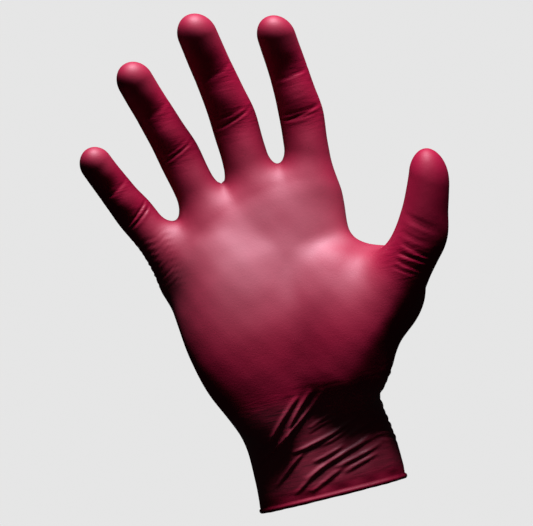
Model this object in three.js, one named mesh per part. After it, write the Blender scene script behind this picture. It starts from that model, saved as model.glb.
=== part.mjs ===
// Right-handed nitrile exam glove, in the form that it has when it is worn.
//
// The glove is dipped in one piece, so it is one hollow solid: cuff, palm, four fingers and thumb
// are one film, closed at the cuff rim by a rolled bead. Millimetres. The origin is the centre of
// the cuff rim, +Z runs from the cuff to the fingertips, the palm faces -Y, the thumb is at +X.
//
// The outer form is a smooth distance-like field (negative inside) built from a lofted palm, five
// bent tapering limbs and a few pads, all blended. A cage of quads is wrapped on that field, the
// folds push it in or out, and the inner wall lies one wall thickness inside it.

import * as THREE from 'three';

// Driving dimensions
const WALL = 1.0;
const BEAD_RADIUS = 1.3;
const CUFF_LENGTH = 36;
const CUFF_WIDTH = 70;
const CUFF_DEPTH = 44;
const PALM_LENGTH = 110;
const PALM_WIDTH = 94;
const PALM_DEPTH = 30;
const KNUCKLE_ARCH = 36;
const KNUCKLE_ROUND = 5;
const LITTLE_LENGTH = 55;
const LITTLE_WIDTH = 17.6;
const RING_LENGTH = 73.5;
const RING_WIDTH = 19.4;
const MIDDLE_LENGTH = 80.2;
const MIDDLE_WIDTH = 21;
const INDEX_LENGTH = 71.4;
const INDEX_WIDTH = 20.4;
const THUMB_LENGTH = 104;
const THUMB_WIDTH = 23;
const FINGER_WEB = 3.5;
const KNUCKLE_BLEND = 8;
const THUMB_BLEND = 14;
const PAD_BLEND = 14;
const FOLD_HEIGHT = 1.3;
const CREASE_DEPTH = 0.8;

// Shape numbers that aren't lengths
const PALM_SQUARENESS = 2.3;
const ARCH_PEAK = 0.16;
const ARCH_SPAN = 0.82;
const FRONT_ANGLE = 122;
const TIP_ROUNDNESS = 1.0;

// Sections of the cuff from rim to wrist: edges are shares of CUFF_WIDTH, faces of CUFF_DEPTH
const CUFF_SECTIONS = [
  { along: 0.0, ulnar: -0.5, radial: 0.49, front: -0.5, back: 0.5 },
  { along: 0.45, ulnar: -0.488, radial: 0.485, front: -0.53, back: 0.44 },
];

// Sections of the palm from wrist to knuckles: edges are shares of PALM_WIDTH, faces of PALM_DEPTH
const PALM_SECTIONS = [
  { along: 0.0, ulnar: -0.364, radial: 0.336, front: -0.84, back: 0.5 },
  { along: 0.15, ulnar: -0.392, radial: 0.312, front: -0.95, back: 0.28 },
  { along: 0.31, ulnar: -0.457, radial: 0.328, front: -1.05, back: 0.06 },
  { along: 0.44, ulnar: -0.498, radial: 0.36, front: -1.07, back: -0.02 },
  { along: 0.58, ulnar: -0.528, radial: 0.375, front: -1.0, back: 0.0 },
  { along: 0.76, ulnar: -0.548, radial: 0.38, front: -0.87, back: 0.06 },
  { along: 0.92, ulnar: -0.562, radial: 0.37, front: -0.73, back: 0.1 },
  { along: 1.0, ulnar: -0.575, radial: 0.365, front: -0.63, back: 0.08 },
];

// Fingers: root as shares of PALM_WIDTH, PALM_DEPTH and PALM_LENGTH, bones as shares of the length,
// and for each bone its lean to the thumb side and its curl to the palm side in degrees
const FINGERS = [
  {
    name: 'little', length: LITTLE_LENGTH, width: LITTLE_WIDTH,
    across: -0.512, depth: -0.36, up: 0.845,
    bones: [0.434, 0.321, 0.245], lean: [-26.5, -24.5, -22], curl: [7, 19, 29],
  },
  {
    name: 'ring', length: RING_LENGTH, width: RING_WIDTH,
    across: -0.27, depth: -0.32, up: 0.961,
    bones: [0.468, 0.34, 0.192], lean: [-13, -16.8, -16.5], curl: [6, 19, 29],
  },
  {
    name: 'middle', length: MIDDLE_LENGTH, width: MIDDLE_WIDTH,
    across: -0.02, depth: -0.28, up: 1.015,
    bones: [0.443, 0.352, 0.205], lean: [-3, -9.3, -9.2], curl: [6, 19, 29],
  },
  {
    name: 'index', length: INDEX_LENGTH, width: INDEX_WIDTH,
    across: 0.266, depth: -0.29, up: 0.995,
    bones: [0.435, 0.362, 0.203], lean: [4.6, -3.2, -5], curl: [6, 17, 26],
  },
];
const THUMB = {
  name: 'thumb', length: THUMB_LENGTH, width: THUMB_WIDTH,
  across: 0.2, depth: -0.63, up: 0.184,
  bones: [0.412, 0.365, 0.215], lean: [46, 36, 20], curl: [12, 12, 2],
};

// Limb sections: half sizes as shares of half the width, minus and plus across, front and back
const FINGER_SECTIONS = [
  { along: -0.22, minus: 0.8, plus: 0.8, front: 0.7, back: 0.15 },
  { along: 0.0, minus: 1.06, plus: 1.06, front: 0.96, back: 1.0 },
  { along: 0.24, minus: 1.01, plus: 1.01, front: 1.0, back: 0.92 },
  { along: 0.42, minus: 1.0, plus: 1.02, front: 0.84, back: 0.98 },
  { along: 0.57, minus: 0.93, plus: 0.93, front: 0.95, back: 0.86 },
  { along: 0.73, minus: 0.88, plus: 0.9, front: 0.8, back: 0.84 },
  { along: 0.88, minus: 0.875, plus: 0.875, front: 0.92, back: 0.74 },
  { along: 1.0, minus: 0.85, plus: 0.85, front: 0.84, back: 0.68 },
];
const THUMB_SECTIONS = [
  { along: 0.0, minus: 1.22, plus: 0.55, front: 1.2, back: 1.1 },
  { along: 0.22, minus: 1.3, plus: 0.66, front: 1.2, back: 1.05 },
  { along: 0.42, minus: 1.26, plus: 1.0, front: 1.1, back: 1.0 },
  { along: 0.6, minus: 1.06, plus: 1.04, front: 0.98, back: 0.95 },
  { along: 0.74, minus: 0.98, plus: 1.12, front: 0.9, back: 0.92 },
  { along: 0.84, minus: 0.97, plus: 0.92, front: 0.9, back: 0.8 },
  { along: 0.93, minus: 0.87, plus: 0.87, front: 0.86, back: 0.7 },
  { along: 1.0, minus: 0.74, plus: 0.88, front: 0.8, back: 0.66 },
];

// Pads under the film: centre and radii as shares of PALM_WIDTH, PALM_DEPTH and PALM_LENGTH, soft
// is the share of PAD_BLEND over which the pad fades into the palm
const PADS = [
  { name: 'first_web', across: 0.43, depth: -0.62, up: 0.46, wide: 0.24, deep: 0.3, tall: 0.2, soft: 1 },
  { name: 'thenar', across: 0.26, depth: -0.78, up: 0.34, wide: 0.205, deep: 0.42, tall: 0.3, soft: 1 },
  { name: 'hypothenar', across: -0.24, depth: -0.75, up: 0.38, wide: 0.2, deep: 0.36, tall: 0.38, soft: 1 },
  { name: 'ball_little', across: -0.4, depth: -0.43, up: 0.8, wide: 0.15, deep: 0.34, tall: 0.14, soft: 1 },
  { name: 'ball_ring', across: -0.18, depth: -0.41, up: 0.87, wide: 0.15, deep: 0.34, tall: 0.14, soft: 1 },
  { name: 'ball_index', across: 0.14, depth: -0.4, up: 0.9, wide: 0.18, deep: 0.34, tall: 0.14, soft: 1 },
  { name: 'knuckle_little', across: -0.45, depth: -0.26, up: 0.74, wide: 0.09, deep: 0.2, tall: 0.12, soft: 0.6 },
  { name: 'knuckle_ring', across: -0.25, depth: -0.23, up: 0.83, wide: 0.1, deep: 0.22, tall: 0.12, soft: 0.6 },
  { name: 'knuckle_middle', across: -0.01, depth: -0.2, up: 0.87, wide: 0.11, deep: 0.24, tall: 0.13, soft: 0.6 },
  { name: 'knuckle_index', across: 0.23, depth: -0.21, up: 0.85, wide: 0.11, deep: 0.22, tall: 0.13, soft: 0.6 },
];

// Folds of the film across the front of the wrist: ends as shares of CUFF_WIDTH and CUFF_LENGTH,
// reach as a share of CUFF_LENGTH, rise as a share of FOLD_HEIGHT
const WRIST_FOLDS = [
  { x1: -0.3, z1: 0.42, x2: 0.12, z2: 1.14, reach: 0.11, rise: 0.8 },
  { x1: -0.12, z1: 0.34, x2: 0.3, z2: 0.9, reach: 0.11, rise: 1.0 },
  { x1: 0.04, z1: 0.22, x2: 0.44, z2: 0.62, reach: 0.11, rise: 0.9 },
];

// Creases across the palm side of the limbs: along and reach as shares of the limb's length, deep
// as a share of CREASE_DEPTH
const CREASES = [
  { limb: 'little', along: 0.4, reach: 0.03, deep: 0.7 },
  { limb: 'little', along: 0.68, reach: 0.03, deep: 0.4 },
  { limb: 'ring', along: 0.43, reach: 0.03, deep: 1.0 },
  { limb: 'ring', along: 0.72, reach: 0.03, deep: 0.5 },
  { limb: 'middle', along: 0.42, reach: 0.03, deep: 1.0 },
  { limb: 'middle', along: 0.72, reach: 0.03, deep: 0.7 },
  { limb: 'index', along: 0.42, reach: 0.03, deep: 1.0 },
  { limb: 'index', along: 0.7, reach: 0.03, deep: 0.7 },
  { limb: 'thumb', along: 0.56, reach: 0.025, deep: 1.0 },
  { limb: 'thumb', along: 0.74, reach: 0.025, deep: 0.8 },
];

// Counts of the cage: quads across a finger's front, across its side, and along each stretch
const FRONT_COUNT = 5;
const SIDE_COUNT = 4;
const CUFF_ROW_COUNT = 13;
const PALM_ROW_COUNT = 17;
const THUMB_HOLE_START_COUNT = 16;
const THUMB_HOLE_COUNT = 6;
const FINGER_ROW_COUNT = 11;
const THUMB_ROW_COUNT = 11;
const TIP_RINGS = [0.34, 0.64];
const FREE_ROW_COUNT = 4;
const ROW_SPREAD = 1.25;
const RELAX_COUNT = 45;
const BEAD_COUNT = 5;
const DIAGONAL_LEAN = 1.3;

const TINY = 1e-9;
const BACK = new THREE.Vector3(0, 1, 0);
const wristShare = CUFF_LENGTH / (CUFF_LENGTH + PALM_LENGTH);

const clamp = (value, low, high) => Math.min(Math.max(value, low), high);
const mix = (a, b, share) => a + (b - a) * share;
const ease = (low, high, value) => {
  const t = clamp((value - low) / (high - low), 0, 1);
  return t * t * (3 - 2 * t);
};

// A column of a table as a smooth curve: cubic pieces that pass through every row
class SmoothColumn {
  constructor(places, values) {
    this.places = places;
    this.values = values;
    const last = places.length - 1;
    const steps = places.slice(1).map((place, i) => place - places[i]);
    const rises = values.slice(1).map((value, i) => (value - values[i]) / steps[i]);
    this.slopes = values.map((_, i) => {
      if (i === 0) return rises[0];
      if (i === last) return rises[last - 1];
      return (rises[i - 1] * steps[i] + rises[i] * steps[i - 1]) / (steps[i - 1] + steps[i]);
    });
  }

  at(place) {
    const { places, values, slopes } = this;
    const last = places.length - 1;
    const x = clamp(place, places[0], places[last]);
    let i = 0;
    while (i < last - 1 && x > places[i + 1]) i += 1;
    const step = places[i + 1] - places[i];
    const t = (x - places[i]) / step;
    const rest = 1 - t;
    const ends = rest * rest * (1 + 2 * t) * values[i] + t * t * (3 - 2 * t) * values[i + 1];
    return ends + step * t * rest * (rest * slopes[i] - t * slopes[i + 1]);
  }
}

// Distance-like value of a rounded form: size is how far out the point lies, slope its growth
const rounded = (size, slope) => (size * (size - 1)) / (slope + TINY);

function blend(a, b, reach) {
  const share = clamp(0.5 + (0.5 * (b - a)) / reach, 0, 1);
  return mix(b, a, share) - reach * share * (1 - share);
}

// The cuff and palm: rounded-rectangle sections stacked up to an arched knuckle line
class Palm {
  constructor() {
    const rows = [
      ...CUFF_SECTIONS.map((row) => this.scaled(row, row.along * wristShare, CUFF_WIDTH, CUFF_DEPTH)),
      ...PALM_SECTIONS.map((row) =>
        this.scaled(row, mix(wristShare, 1, row.along), PALM_WIDTH, PALM_DEPTH)),
    ];
    const places = rows.map((row) => row.along);
    const column = (key) => new SmoothColumn(places, rows.map((row) => row[key]));
    this.ulnar = column('ulnar');
    this.radial = column('radial');
    this.front = column('front');
    this.back = column('back');
  }

  scaled(row, along, width, depth) {
    return {
      along,
      ulnar: row.ulnar * width,
      radial: row.radial * width,
      front: row.front * depth,
      back: row.back * depth,
    };
  }

  // Height of the knuckle line over the cuff rim at a place across the palm
  top(x) {
    const offset = (x - ARCH_PEAK * PALM_WIDTH) / (ARCH_SPAN * PALM_WIDTH);
    return CUFF_LENGTH + PALM_LENGTH - KNUCKLE_ARCH * offset * offset;
  }

  section(share) {
    const [left, right] = [this.ulnar.at(share), this.radial.at(share)];
    const [front, back] = [this.front.at(share), this.back.at(share)];
    return {
      x: (left + right) / 2,
      y: (front + back) / 2,
      wide: (right - left) / 2,
      deep: (back - front) / 2,
    };
  }

  field(x, y, z) {
    const top = this.top(x);
    const over = Math.max(z - top, 0);
    const middle = this.section(clamp(z / top, 0, 1));
    const power = PALM_SQUARENESS;
    const u = Math.abs(x - middle.x) / middle.wide;
    const v = Math.abs(y - middle.y) / middle.deep;
    const w = over / KNUCKLE_ROUND;
    const size = (u ** power + v ** power + w ** power) ** (1 / power) + TINY;
    const slope = Math.hypot(
      u ** (power - 1) / middle.wide,
      v ** (power - 1) / middle.deep,
      w ** (power - 1) / KNUCKLE_ROUND,
    ) * size ** (1 - power);
    return (size - 1) / (slope + TINY);
  }

  // A point of the cage's first guess: share of the height, angle round the section
  guess(share, angle) {
    const middle = this.section(share);
    const power = 2 / PALM_SQUARENESS;
    const [c, s] = [Math.cos(angle), Math.sin(angle)];
    const x = middle.x + middle.wide * Math.sign(c) * Math.abs(c) ** power;
    const y = middle.y + middle.deep * Math.sign(s) * Math.abs(s) ** power;
    return new THREE.Vector3(x, y, share * this.top(x));
  }
}

// A finger or the thumb: elliptical sections along a chain of bones, closed by a round tip
class Limb {
  constructor(row, sections) {
    this.name = row.name;
    const joints = [new THREE.Vector3(
      row.across * PALM_WIDTH,
      row.depth * PALM_DEPTH,
      CUFF_LENGTH + row.up * PALM_LENGTH,
    )];
    row.bones.forEach((bone, i) => {
      const lean = THREE.MathUtils.degToRad(row.lean[i]);
      const curl = THREE.MathUtils.degToRad(row.curl[i]);
      const way = new THREE.Vector3(
        Math.sin(lean) * Math.cos(curl),
        -Math.sin(curl),
        Math.cos(lean) * Math.cos(curl),
      );
      joints.push(joints[i].clone().addScaledVector(way, bone * row.length));
    });
    this.root = joints[0];
    this.axis = joints[joints.length - 1].clone().sub(this.root).normalize();
    this.side = BACK.clone().cross(this.axis).normalize();
    this.backward = this.axis.clone().cross(this.side);
    const offsets = joints.map((joint) => joint.clone().sub(this.root));
    const stations = offsets.map((offset) => offset.dot(this.axis));
    this.length = stations[stations.length - 1];
    this.bendAcross = new SmoothColumn(stations, offsets.map((offset) => offset.dot(this.side)));
    this.bendBack = new SmoothColumn(stations, offsets.map((offset) => offset.dot(this.backward)));
    const half = row.width / 2;
    const places = sections.map((section) => section.along * this.length);
    const column = (key) => new SmoothColumn(places, sections.map((section) => section[key] * half));
    this.minus = column('minus');
    this.plus = column('plus');
    this.front = column('front');
    this.back = column('back');
    this.start = places[0];
    this.cap = sections[sections.length - 1].minus * half * TIP_ROUNDNESS;
  }

  // Place of a point along, across and behind the limb's own bent line
  local(x, y, z) {
    const [dx, dy, dz] = [x - this.root.x, y - this.root.y, z - this.root.z];
    const { axis, side, backward } = this;
    const along = dx * axis.x + dy * axis.y + dz * axis.z;
    const station = clamp(along, 0, this.length);
    return {
      along,
      across: dx * side.x + dy * side.y + dz * side.z - this.bendAcross.at(station),
      behind: dx * backward.x + dy * backward.y + dz * backward.z - this.bendBack.at(station),
    };
  }

  field(x, y, z) {
    const { along, across, behind } = this.local(x, y, z);
    const station = clamp(along, this.start, this.length);
    const wide = across < 0 ? this.minus.at(station) : this.plus.at(station);
    const deep = behind < 0 ? this.front.at(station) : this.back.at(station);
    const [u, v, w] = [across / wide, behind / deep, (along - station) / this.cap];
    return rounded(Math.hypot(u, v, w) + TINY, Math.hypot(u / wide, v / deep, w / this.cap));
  }

  // A point of the cage's first guess: distance along, angle round, share of the way over the tip
  guess(along, angle, over = 0) {
    const station = clamp(along, this.start, this.length);
    const line = clamp(station, 0, this.length);
    const [c, s] = [Math.cos(angle), Math.sin(angle)];
    const shrink = Math.cos((over * Math.PI) / 2);
    const wide = c < 0 ? this.minus.at(station) : this.plus.at(station);
    const deep = s < 0 ? this.front.at(station) : this.back.at(station);
    return this.root.clone()
      .addScaledVector(this.axis, station + this.cap * Math.sin((over * Math.PI) / 2))
      .addScaledVector(this.side, this.bendAcross.at(line) + wide * c * shrink)
      .addScaledVector(this.backward, this.bendBack.at(line) + deep * s * shrink);
  }
}

class Pad {
  constructor(row) {
    this.x = row.across * PALM_WIDTH;
    this.y = row.depth * PALM_DEPTH;
    this.z = CUFF_LENGTH + row.up * PALM_LENGTH;
    this.wide = row.wide * PALM_WIDTH;
    this.deep = row.deep * PALM_DEPTH;
    this.tall = row.tall * PALM_LENGTH;
    this.reach = row.soft * PAD_BLEND;
  }

  field(x, y, z) {
    const u = (x - this.x) / this.wide;
    const v = (y - this.y) / this.deep;
    const w = (z - this.z) / this.tall;
    const slope = Math.hypot(u / this.wide, v / this.deep, w / this.tall);
    return rounded(Math.hypot(u, v, w) + TINY, slope);
  }
}

const palm = new Palm();
const fingers = FINGERS.map((row) => new Limb(row, FINGER_SECTIONS));
const thumb = new Limb(THUMB, THUMB_SECTIONS);
const pads = PADS.map((row) => new Pad(row));
const limbs = [...fingers, thumb];

// The whole outer form, without its folds
function form(x, y, z) {
  const body = pads.reduce((value, pad) => blend(value, pad.field(x, y, z), pad.reach),
    palm.field(x, y, z));
  const fan = fingers.map((finger) => finger.field(x, y, z))
    .reduce((value, next) => blend(value, next, FINGER_WEB));
  return blend(blend(body, fan, KNUCKLE_BLEND), thumb.field(x, y, z), THUMB_BLEND);
}

// Outward direction of the form at a point, and its value there
const PROBE = 0.05;
function slopeAt(point) {
  const { x, y, z } = point;
  const value = form(x, y, z);
  const way = new THREE.Vector3(
    form(x + PROBE, y, z) - value,
    form(x, y + PROBE, z) - value,
    form(x, y, z + PROBE) - value,
  ).divideScalar(PROBE);
  return { value, way };
}

const LONGEST_STEP = 6;
function settle(point, rounds = 1) {
  for (let i = 0; i < rounds; i += 1) {
    const { value, way } = slopeAt(point);
    const step = -value / (way.lengthSq() + TINY);
    const limit = LONGEST_STEP / (way.length() + TINY);
    point.addScaledVector(way, clamp(step, -limit, limit));
  }
}

// The cage: points with the share that each may be smoothed by, and quads that face outward
const points = [];
const freedom = [];
const quads = [];

function addPoint(position, free) {
  points.push(position);
  freedom.push(free);
  return points.length - 1;
}

// Quads between two rings of the same count, the second one further from the cuff
function addBand(lower, upper, closed = true) {
  const count = closed ? lower.length : lower.length - 1;
  for (let k = 0; k < count; k += 1) {
    const next = (k + 1) % lower.length;
    quads.push([lower[k], lower[next], upper[next], upper[k]]);
  }
}

// Angles round a section of 2 fronts and 2 sides, from the little-finger corner of the front
function ringAngles(front, side, frontAngle) {
  const sideAngle = Math.PI - frontAngle;
  const angles = [];
  const start = -Math.PI / 2 - frontAngle / 2;
  for (let k = 0; k < front; k += 1) angles.push(start + (frontAngle * k) / front);
  for (let k = 0; k < side; k += 1) angles.push(start + frontAngle + (sideAngle * k) / side);
  return [...angles, ...angles.map((angle) => angle + Math.PI)];
}

const columns = 2 * (FINGERS.length * FRONT_COUNT + SIDE_COUNT);
const frontColumns = FINGERS.length * FRONT_COUNT;
const rimShare = (2 * BEAD_RADIUS) / (CUFF_LENGTH + PALM_LENGTH);

function palmShares() {
  const shares = [];
  const cuffEnd = wristShare * 1.32;
  for (let j = 0; j < CUFF_ROW_COUNT; j += 1) shares.push(mix(rimShare, cuffEnd, j / CUFF_ROW_COUNT));
  for (let j = 0; j <= PALM_ROW_COUNT; j += 1) shares.push(mix(cuffEnd, 1, j / PALM_ROW_COUNT));
  return shares;
}

// The thumb grows out of a hole in the side columns, whose inner points are left out
const NO_POINT = -1;
const insideHole = (row, column) => row > THUMB_HOLE_START_COUNT
  && row < THUMB_HOLE_START_COUNT + THUMB_HOLE_COUNT
  && column > frontColumns
  && column < frontColumns + SIDE_COUNT;

function palmRings() {
  const angles = ringAngles(frontColumns, SIDE_COUNT, THREE.MathUtils.degToRad(FRONT_ANGLE));
  return palmShares().map((share, row) => {
    const free = ease(wristShare, wristShare + 0.2, share);
    return angles.map((angle, column) =>
      (insideHole(row, column) ? NO_POINT : addPoint(palm.guess(share, angle), free)));
  });
}

// Points of the crotch between two neighbouring fingers, from palm side to back
function webStrip(first, second, frontPoint, backPoint) {
  const strip = [];
  const reach = (limb) => limb.length * 0.3;
  const a = first.guess(reach(first), 0);
  const b = second.guess(reach(second), Math.PI);
  const height = Math.max(a.z, b.z);
  for (let k = 1; k < SIDE_COUNT; k += 1) {
    const share = k / SIDE_COUNT;
    const point = points[frontPoint].clone().lerp(points[backPoint], share);
    point.x = (a.x + b.x) / 2;
    point.z = height;
    while (point.z > 0 && form(point.x, point.y, point.z) > 0) point.z -= 1;
    strip.push(addPoint(point, 1));
  }
  return strip;
}

// Rings of a limb over its first ring, then the patch that closes its tip
function closeLimb(limb, firstRing, front, side, rows, angles, startShare) {
  let below = firstRing;
  const add = (ring) => {
    addBand(below, ring);
    below = ring;
  };
  for (let i = 0; i < rows; i += 1) {
    const along = limb.length * mix(startShare, 1, (i / (rows - 1)) ** ROW_SPREAD);
    const free = i < FREE_ROW_COUNT ? 1 - (i + 1) / (FREE_ROW_COUNT + 1) : 0;
    add(angles.map((angle) => addPoint(limb.guess(along, angle), free)));
  }
  TIP_RINGS.forEach((over) =>
    add(angles.map((angle) => addPoint(limb.guess(limb.length, angle, over), 0))));
  const grid = [below.slice(0, front + 1)];
  for (let j = 1; j < side; j += 1) {
    const left = below[below.length - j];
    const right = below[front + j];
    const row = [left];
    for (let k = 1; k < front; k += 1) {
      const point = points[left].clone().lerp(points[right], k / front);
      point.addScaledVector(limb.axis, limb.cap / 4);
      row.push(addPoint(point, 1));
    }
    grid.push([...row, right]);
  }
  grid.push(below.slice(front + side, 2 * front + side + 1).reverse());
  grid.slice(1).forEach((row, j) => addBand(grid[j], row, false));
}

const rings = palmRings();
const topRing = rings[rings.length - 1];

rings.slice(1).forEach((upper, j) => {
  const holed = j >= THUMB_HOLE_START_COUNT && j < THUMB_HOLE_START_COUNT + THUMB_HOLE_COUNT;
  const lower = rings[j];
  for (let k = 0; k < columns; k += 1) {
    const inHole = holed && k >= frontColumns && k < frontColumns + SIDE_COUNT;
    const next = (k + 1) % columns;
    if (!inHole) quads.push([lower[k], lower[next], upper[next], upper[k]]);
  }
});

function buildFingers() {
  const backAt = (k) => topRing[(columns - SIDE_COUNT - k) % columns];
  const strips = fingers.slice(1).map((second, i) => {
    const k = (i + 1) * FRONT_COUNT;
    return webStrip(fingers[i], second, topRing[k], backAt(k));
  });
  const radialSide = topRing.slice(frontColumns + 1, frontColumns + SIDE_COUNT);
  const ulnarSide = topRing.slice(columns - SIDE_COUNT + 1);
  const angles = ringAngles(FRONT_COUNT, SIDE_COUNT,
    (Math.PI * FRONT_COUNT) / (FRONT_COUNT + SIDE_COUNT));
  fingers.forEach((finger, i) => {
    const start = i * FRONT_COUNT;
    const front = topRing.slice(start, start + FRONT_COUNT + 1);
    const back = front.map((_, k) => backAt(start + FRONT_COUNT - k));
    const plusSide = i < strips.length ? strips[i] : radialSide;
    const minusSide = i > 0 ? [...strips[i - 1]].reverse() : ulnarSide;
    const firstRing = [...front, ...plusSide, ...back, ...minusSide];
    closeLimb(finger, firstRing, FRONT_COUNT, SIDE_COUNT, FINGER_ROW_COUNT, angles, 0.12);
  });
}

function buildThumb() {
  const low = rings[THUMB_HOLE_START_COUNT];
  const high = rings[THUMB_HOLE_START_COUNT + THUMB_HOLE_COUNT];
  const between = rings.slice(THUMB_HOLE_START_COUNT + 1, THUMB_HOLE_START_COUNT + THUMB_HOLE_COUNT);
  const [palmSide, backSide] = [frontColumns, frontColumns + SIDE_COUNT];
  const firstRing = [
    ...[...between].reverse().map((ring) => ring[palmSide]),
    ...low.slice(palmSide, backSide + 1),
    ...between.map((ring) => ring[backSide]),
    ...high.slice(palmSide, backSide + 1).reverse(),
  ];
  const corner = firstRing.pop();
  firstRing.unshift(corner);
  const angles = ringAngles(THUMB_HOLE_COUNT, SIDE_COUNT,
    (Math.PI * THUMB_HOLE_COUNT) / (THUMB_HOLE_COUNT + SIDE_COUNT));
  firstRing.forEach((index, k) => {
    points[index].copy(thumb.guess(thumb.length * 0.16, angles[k]));
  });
  closeLimb(thumb, firstRing, THUMB_HOLE_COUNT, SIDE_COUNT, THUMB_ROW_COUNT, angles, 0.26);
}

buildFingers();
buildThumb();

// Smooth the cage as a stretched film would, each round followed by a step back onto the form
function relax() {
  const neighbours = points.map(() => new Set());
  quads.forEach((quad) => quad.forEach((index, k) => {
    neighbours[index].add(quad[(k + 1) % 4]);
    neighbours[index].add(quad[(k + 3) % 4]);
  }));
  points.forEach((point) => settle(point, 3));
  const middle = new THREE.Vector3();
  for (let round = 0; round < RELAX_COUNT; round += 1) {
    points.forEach((point, index) => {
      if (freedom[index] === 0) return;
      middle.set(0, 0, 0);
      neighbours[index].forEach((other) => middle.add(points[other]));
      middle.divideScalar(neighbours[index].size);
      point.lerp(middle, 0.6 * freedom[index]);
      settle(point);
    });
  }
  points.forEach((point, index) => {
    if (!rings[0].includes(index)) settle(point, 2);
  });
}

relax();

// Height of the folds over the smooth form at a point whose outward direction is given
function foldHeight(point, way) {
  const facing = ease(-0.1, 0.6, -way.y);
  let height = 0;
  WRIST_FOLDS.forEach((fold) => {
    const [x1, z1] = [fold.x1 * CUFF_WIDTH, fold.z1 * CUFF_LENGTH];
    const [dx, dz] = [fold.x2 * CUFF_WIDTH - x1, fold.z2 * CUFF_LENGTH - z1];
    const run = ((point.x - x1) * dx + (point.z - z1) * dz) / (dx * dx + dz * dz);
    const along = clamp(run, 0, 1);
    const miss = Math.hypot(point.x - x1 - along * dx, point.z - z1 - along * dz);
    const taper = Math.sqrt(Math.max(1 - (2 * along - 1) ** 2, 0));
    const bump = Math.exp(-((miss / (fold.reach * CUFF_LENGTH)) ** 2));
    height += facing * fold.rise * FOLD_HEIGHT * taper * bump;
  });
  CREASES.forEach((crease) => {
    const limb = limbs.find((candidate) => candidate.name === crease.limb);
    const place = limb.local(point.x, point.y, point.z);
    const near = ease(3, 0, limb.field(point.x, point.y, point.z));
    const miss = (place.along / limb.length - crease.along) / crease.reach;
    height -= near * facing * crease.deep * CREASE_DEPTH * Math.exp(-miss * miss);
  });
  return height;
}

function gloveGeometry() {
  const ways = points.map((point) => slopeAt(point).way.normalize());
  const rim = rings[0];
  rim.forEach((index) => ways[index].setZ(0).normalize());
  const outer = points.map((point, i) => point.clone().addScaledVector(ways[i], foldHeight(point, ways[i])));
  const inner = outer.map((point, i) => point.clone().addScaledVector(ways[i], -WALL));
  const all = [...outer, ...inner];
  const faces = [];
  quads.forEach(([a, b, c, d]) => {
    faces.push([a, b, c, d]);
    faces.push([d, c, b, a].map((index) => index + points.length));
  });
  let previous = rim;
  const addRim = (ring) => {
    rim.forEach((_, k) => {
      const next = (k + 1) % rim.length;
      faces.push([ring[k], ring[next], previous[next], previous[k]]);
    });
    previous = ring;
  };
  for (let step = 1; step <= BEAD_COUNT; step += 1) {
    const angle = mix(0.75, -Math.PI - 0.75, step / (BEAD_COUNT + 1));
    addRim(rim.map((index) => {
      const point = outer[index].clone();
      const beadRing = BEAD_RADIUS * Math.cos(angle) - WALL / 2;
      point.addScaledVector(ways[index], beadRing);
      point.z = BEAD_RADIUS * (1 + Math.sin(angle));
      all.push(point);
      return all.length - 1;
    }));
  }
  addRim(rim.map((index) => index + points.length));

  const geometry = new THREE.BufferGeometry();
  const positions = new Float32Array(all.flatMap((point) => [point.x, point.y, point.z]));
  geometry.setAttribute('position', new THREE.BufferAttribute(positions, 3));
  const rising = ([a, b, c, d]) =>
    all[a].distanceTo(all[c]) < DIAGONAL_LEAN * all[b].distanceTo(all[d]);
  geometry.setIndex(faces.flatMap((face) => {
    const [a, b, c, d] = face;
    return rising(face) ? [a, b, c, a, c, d] : [a, b, d, b, c, d];
  }));
  geometry.computeVertexNormals();
  return geometry;
}

const nitrile = new THREE.MeshStandardMaterial({ color: 0x9c1f45, roughness: 0.5, metalness: 0 });
const glove = new THREE.Mesh(gloveGeometry(), nitrile);
glove.name = 'glove';

const group = new THREE.Group();
group.name = 'nitrile_exam_glove';
group.add(glove);

export default group;
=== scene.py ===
"""Looks of a right-handed nitrile exam glove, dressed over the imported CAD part.

The film is one closed shell: an outer wall wrapped on the part's own rounded form, an inner wall
inside it, and a rolled bead that joins them at the cuff rim. Shapes are worked out in millimetres
and go into the mesh in metres, in the part's frame: the origin is the centre of the cuff rim, +Z
runs to the fingertips, the palm faces -Y and the thumb is at +X.
"""

import logging
import math
from dataclasses import dataclass
from enum import Enum
from typing import Sequence

import bpy
import numpy as np
from mathutils import Matrix, Vector


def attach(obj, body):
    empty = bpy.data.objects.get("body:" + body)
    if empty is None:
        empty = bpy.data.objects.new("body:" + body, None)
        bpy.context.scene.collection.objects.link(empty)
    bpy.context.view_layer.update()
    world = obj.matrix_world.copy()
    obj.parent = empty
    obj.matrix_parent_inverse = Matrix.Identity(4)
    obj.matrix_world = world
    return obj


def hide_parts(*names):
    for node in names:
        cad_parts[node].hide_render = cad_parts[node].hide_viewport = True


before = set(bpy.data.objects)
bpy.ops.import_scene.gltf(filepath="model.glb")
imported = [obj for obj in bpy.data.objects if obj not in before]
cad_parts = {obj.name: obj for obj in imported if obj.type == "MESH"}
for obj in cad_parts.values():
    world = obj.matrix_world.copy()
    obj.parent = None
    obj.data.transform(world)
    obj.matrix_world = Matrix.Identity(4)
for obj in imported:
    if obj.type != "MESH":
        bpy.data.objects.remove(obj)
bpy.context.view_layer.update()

log = logging.getLogger("glove")
MM = 0.001
TINY = 1e-9
WELD_STEPS = 1e4  # Steps in a millimetre: points that round to the same step are one point
Array = np.ndarray


def ease(low: float, high: float, value: Array) -> Array:
    """Smooth step from 0 at low to 1 at high: t * t * (3 - 2t)."""
    t = np.clip((value - low) / (high - low), 0.0, 1.0)
    return t * t * (3.0 - 2.0 * t)


def mix(a: Array, b: Array, share: Array) -> Array:
    """Straight mix of a and b."""
    return a + (b - a) * share


def bell(value: Array) -> Array:
    """Bell curve, 1 at zero: exp(-value squared)."""
    return np.exp(-value * value)


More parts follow.
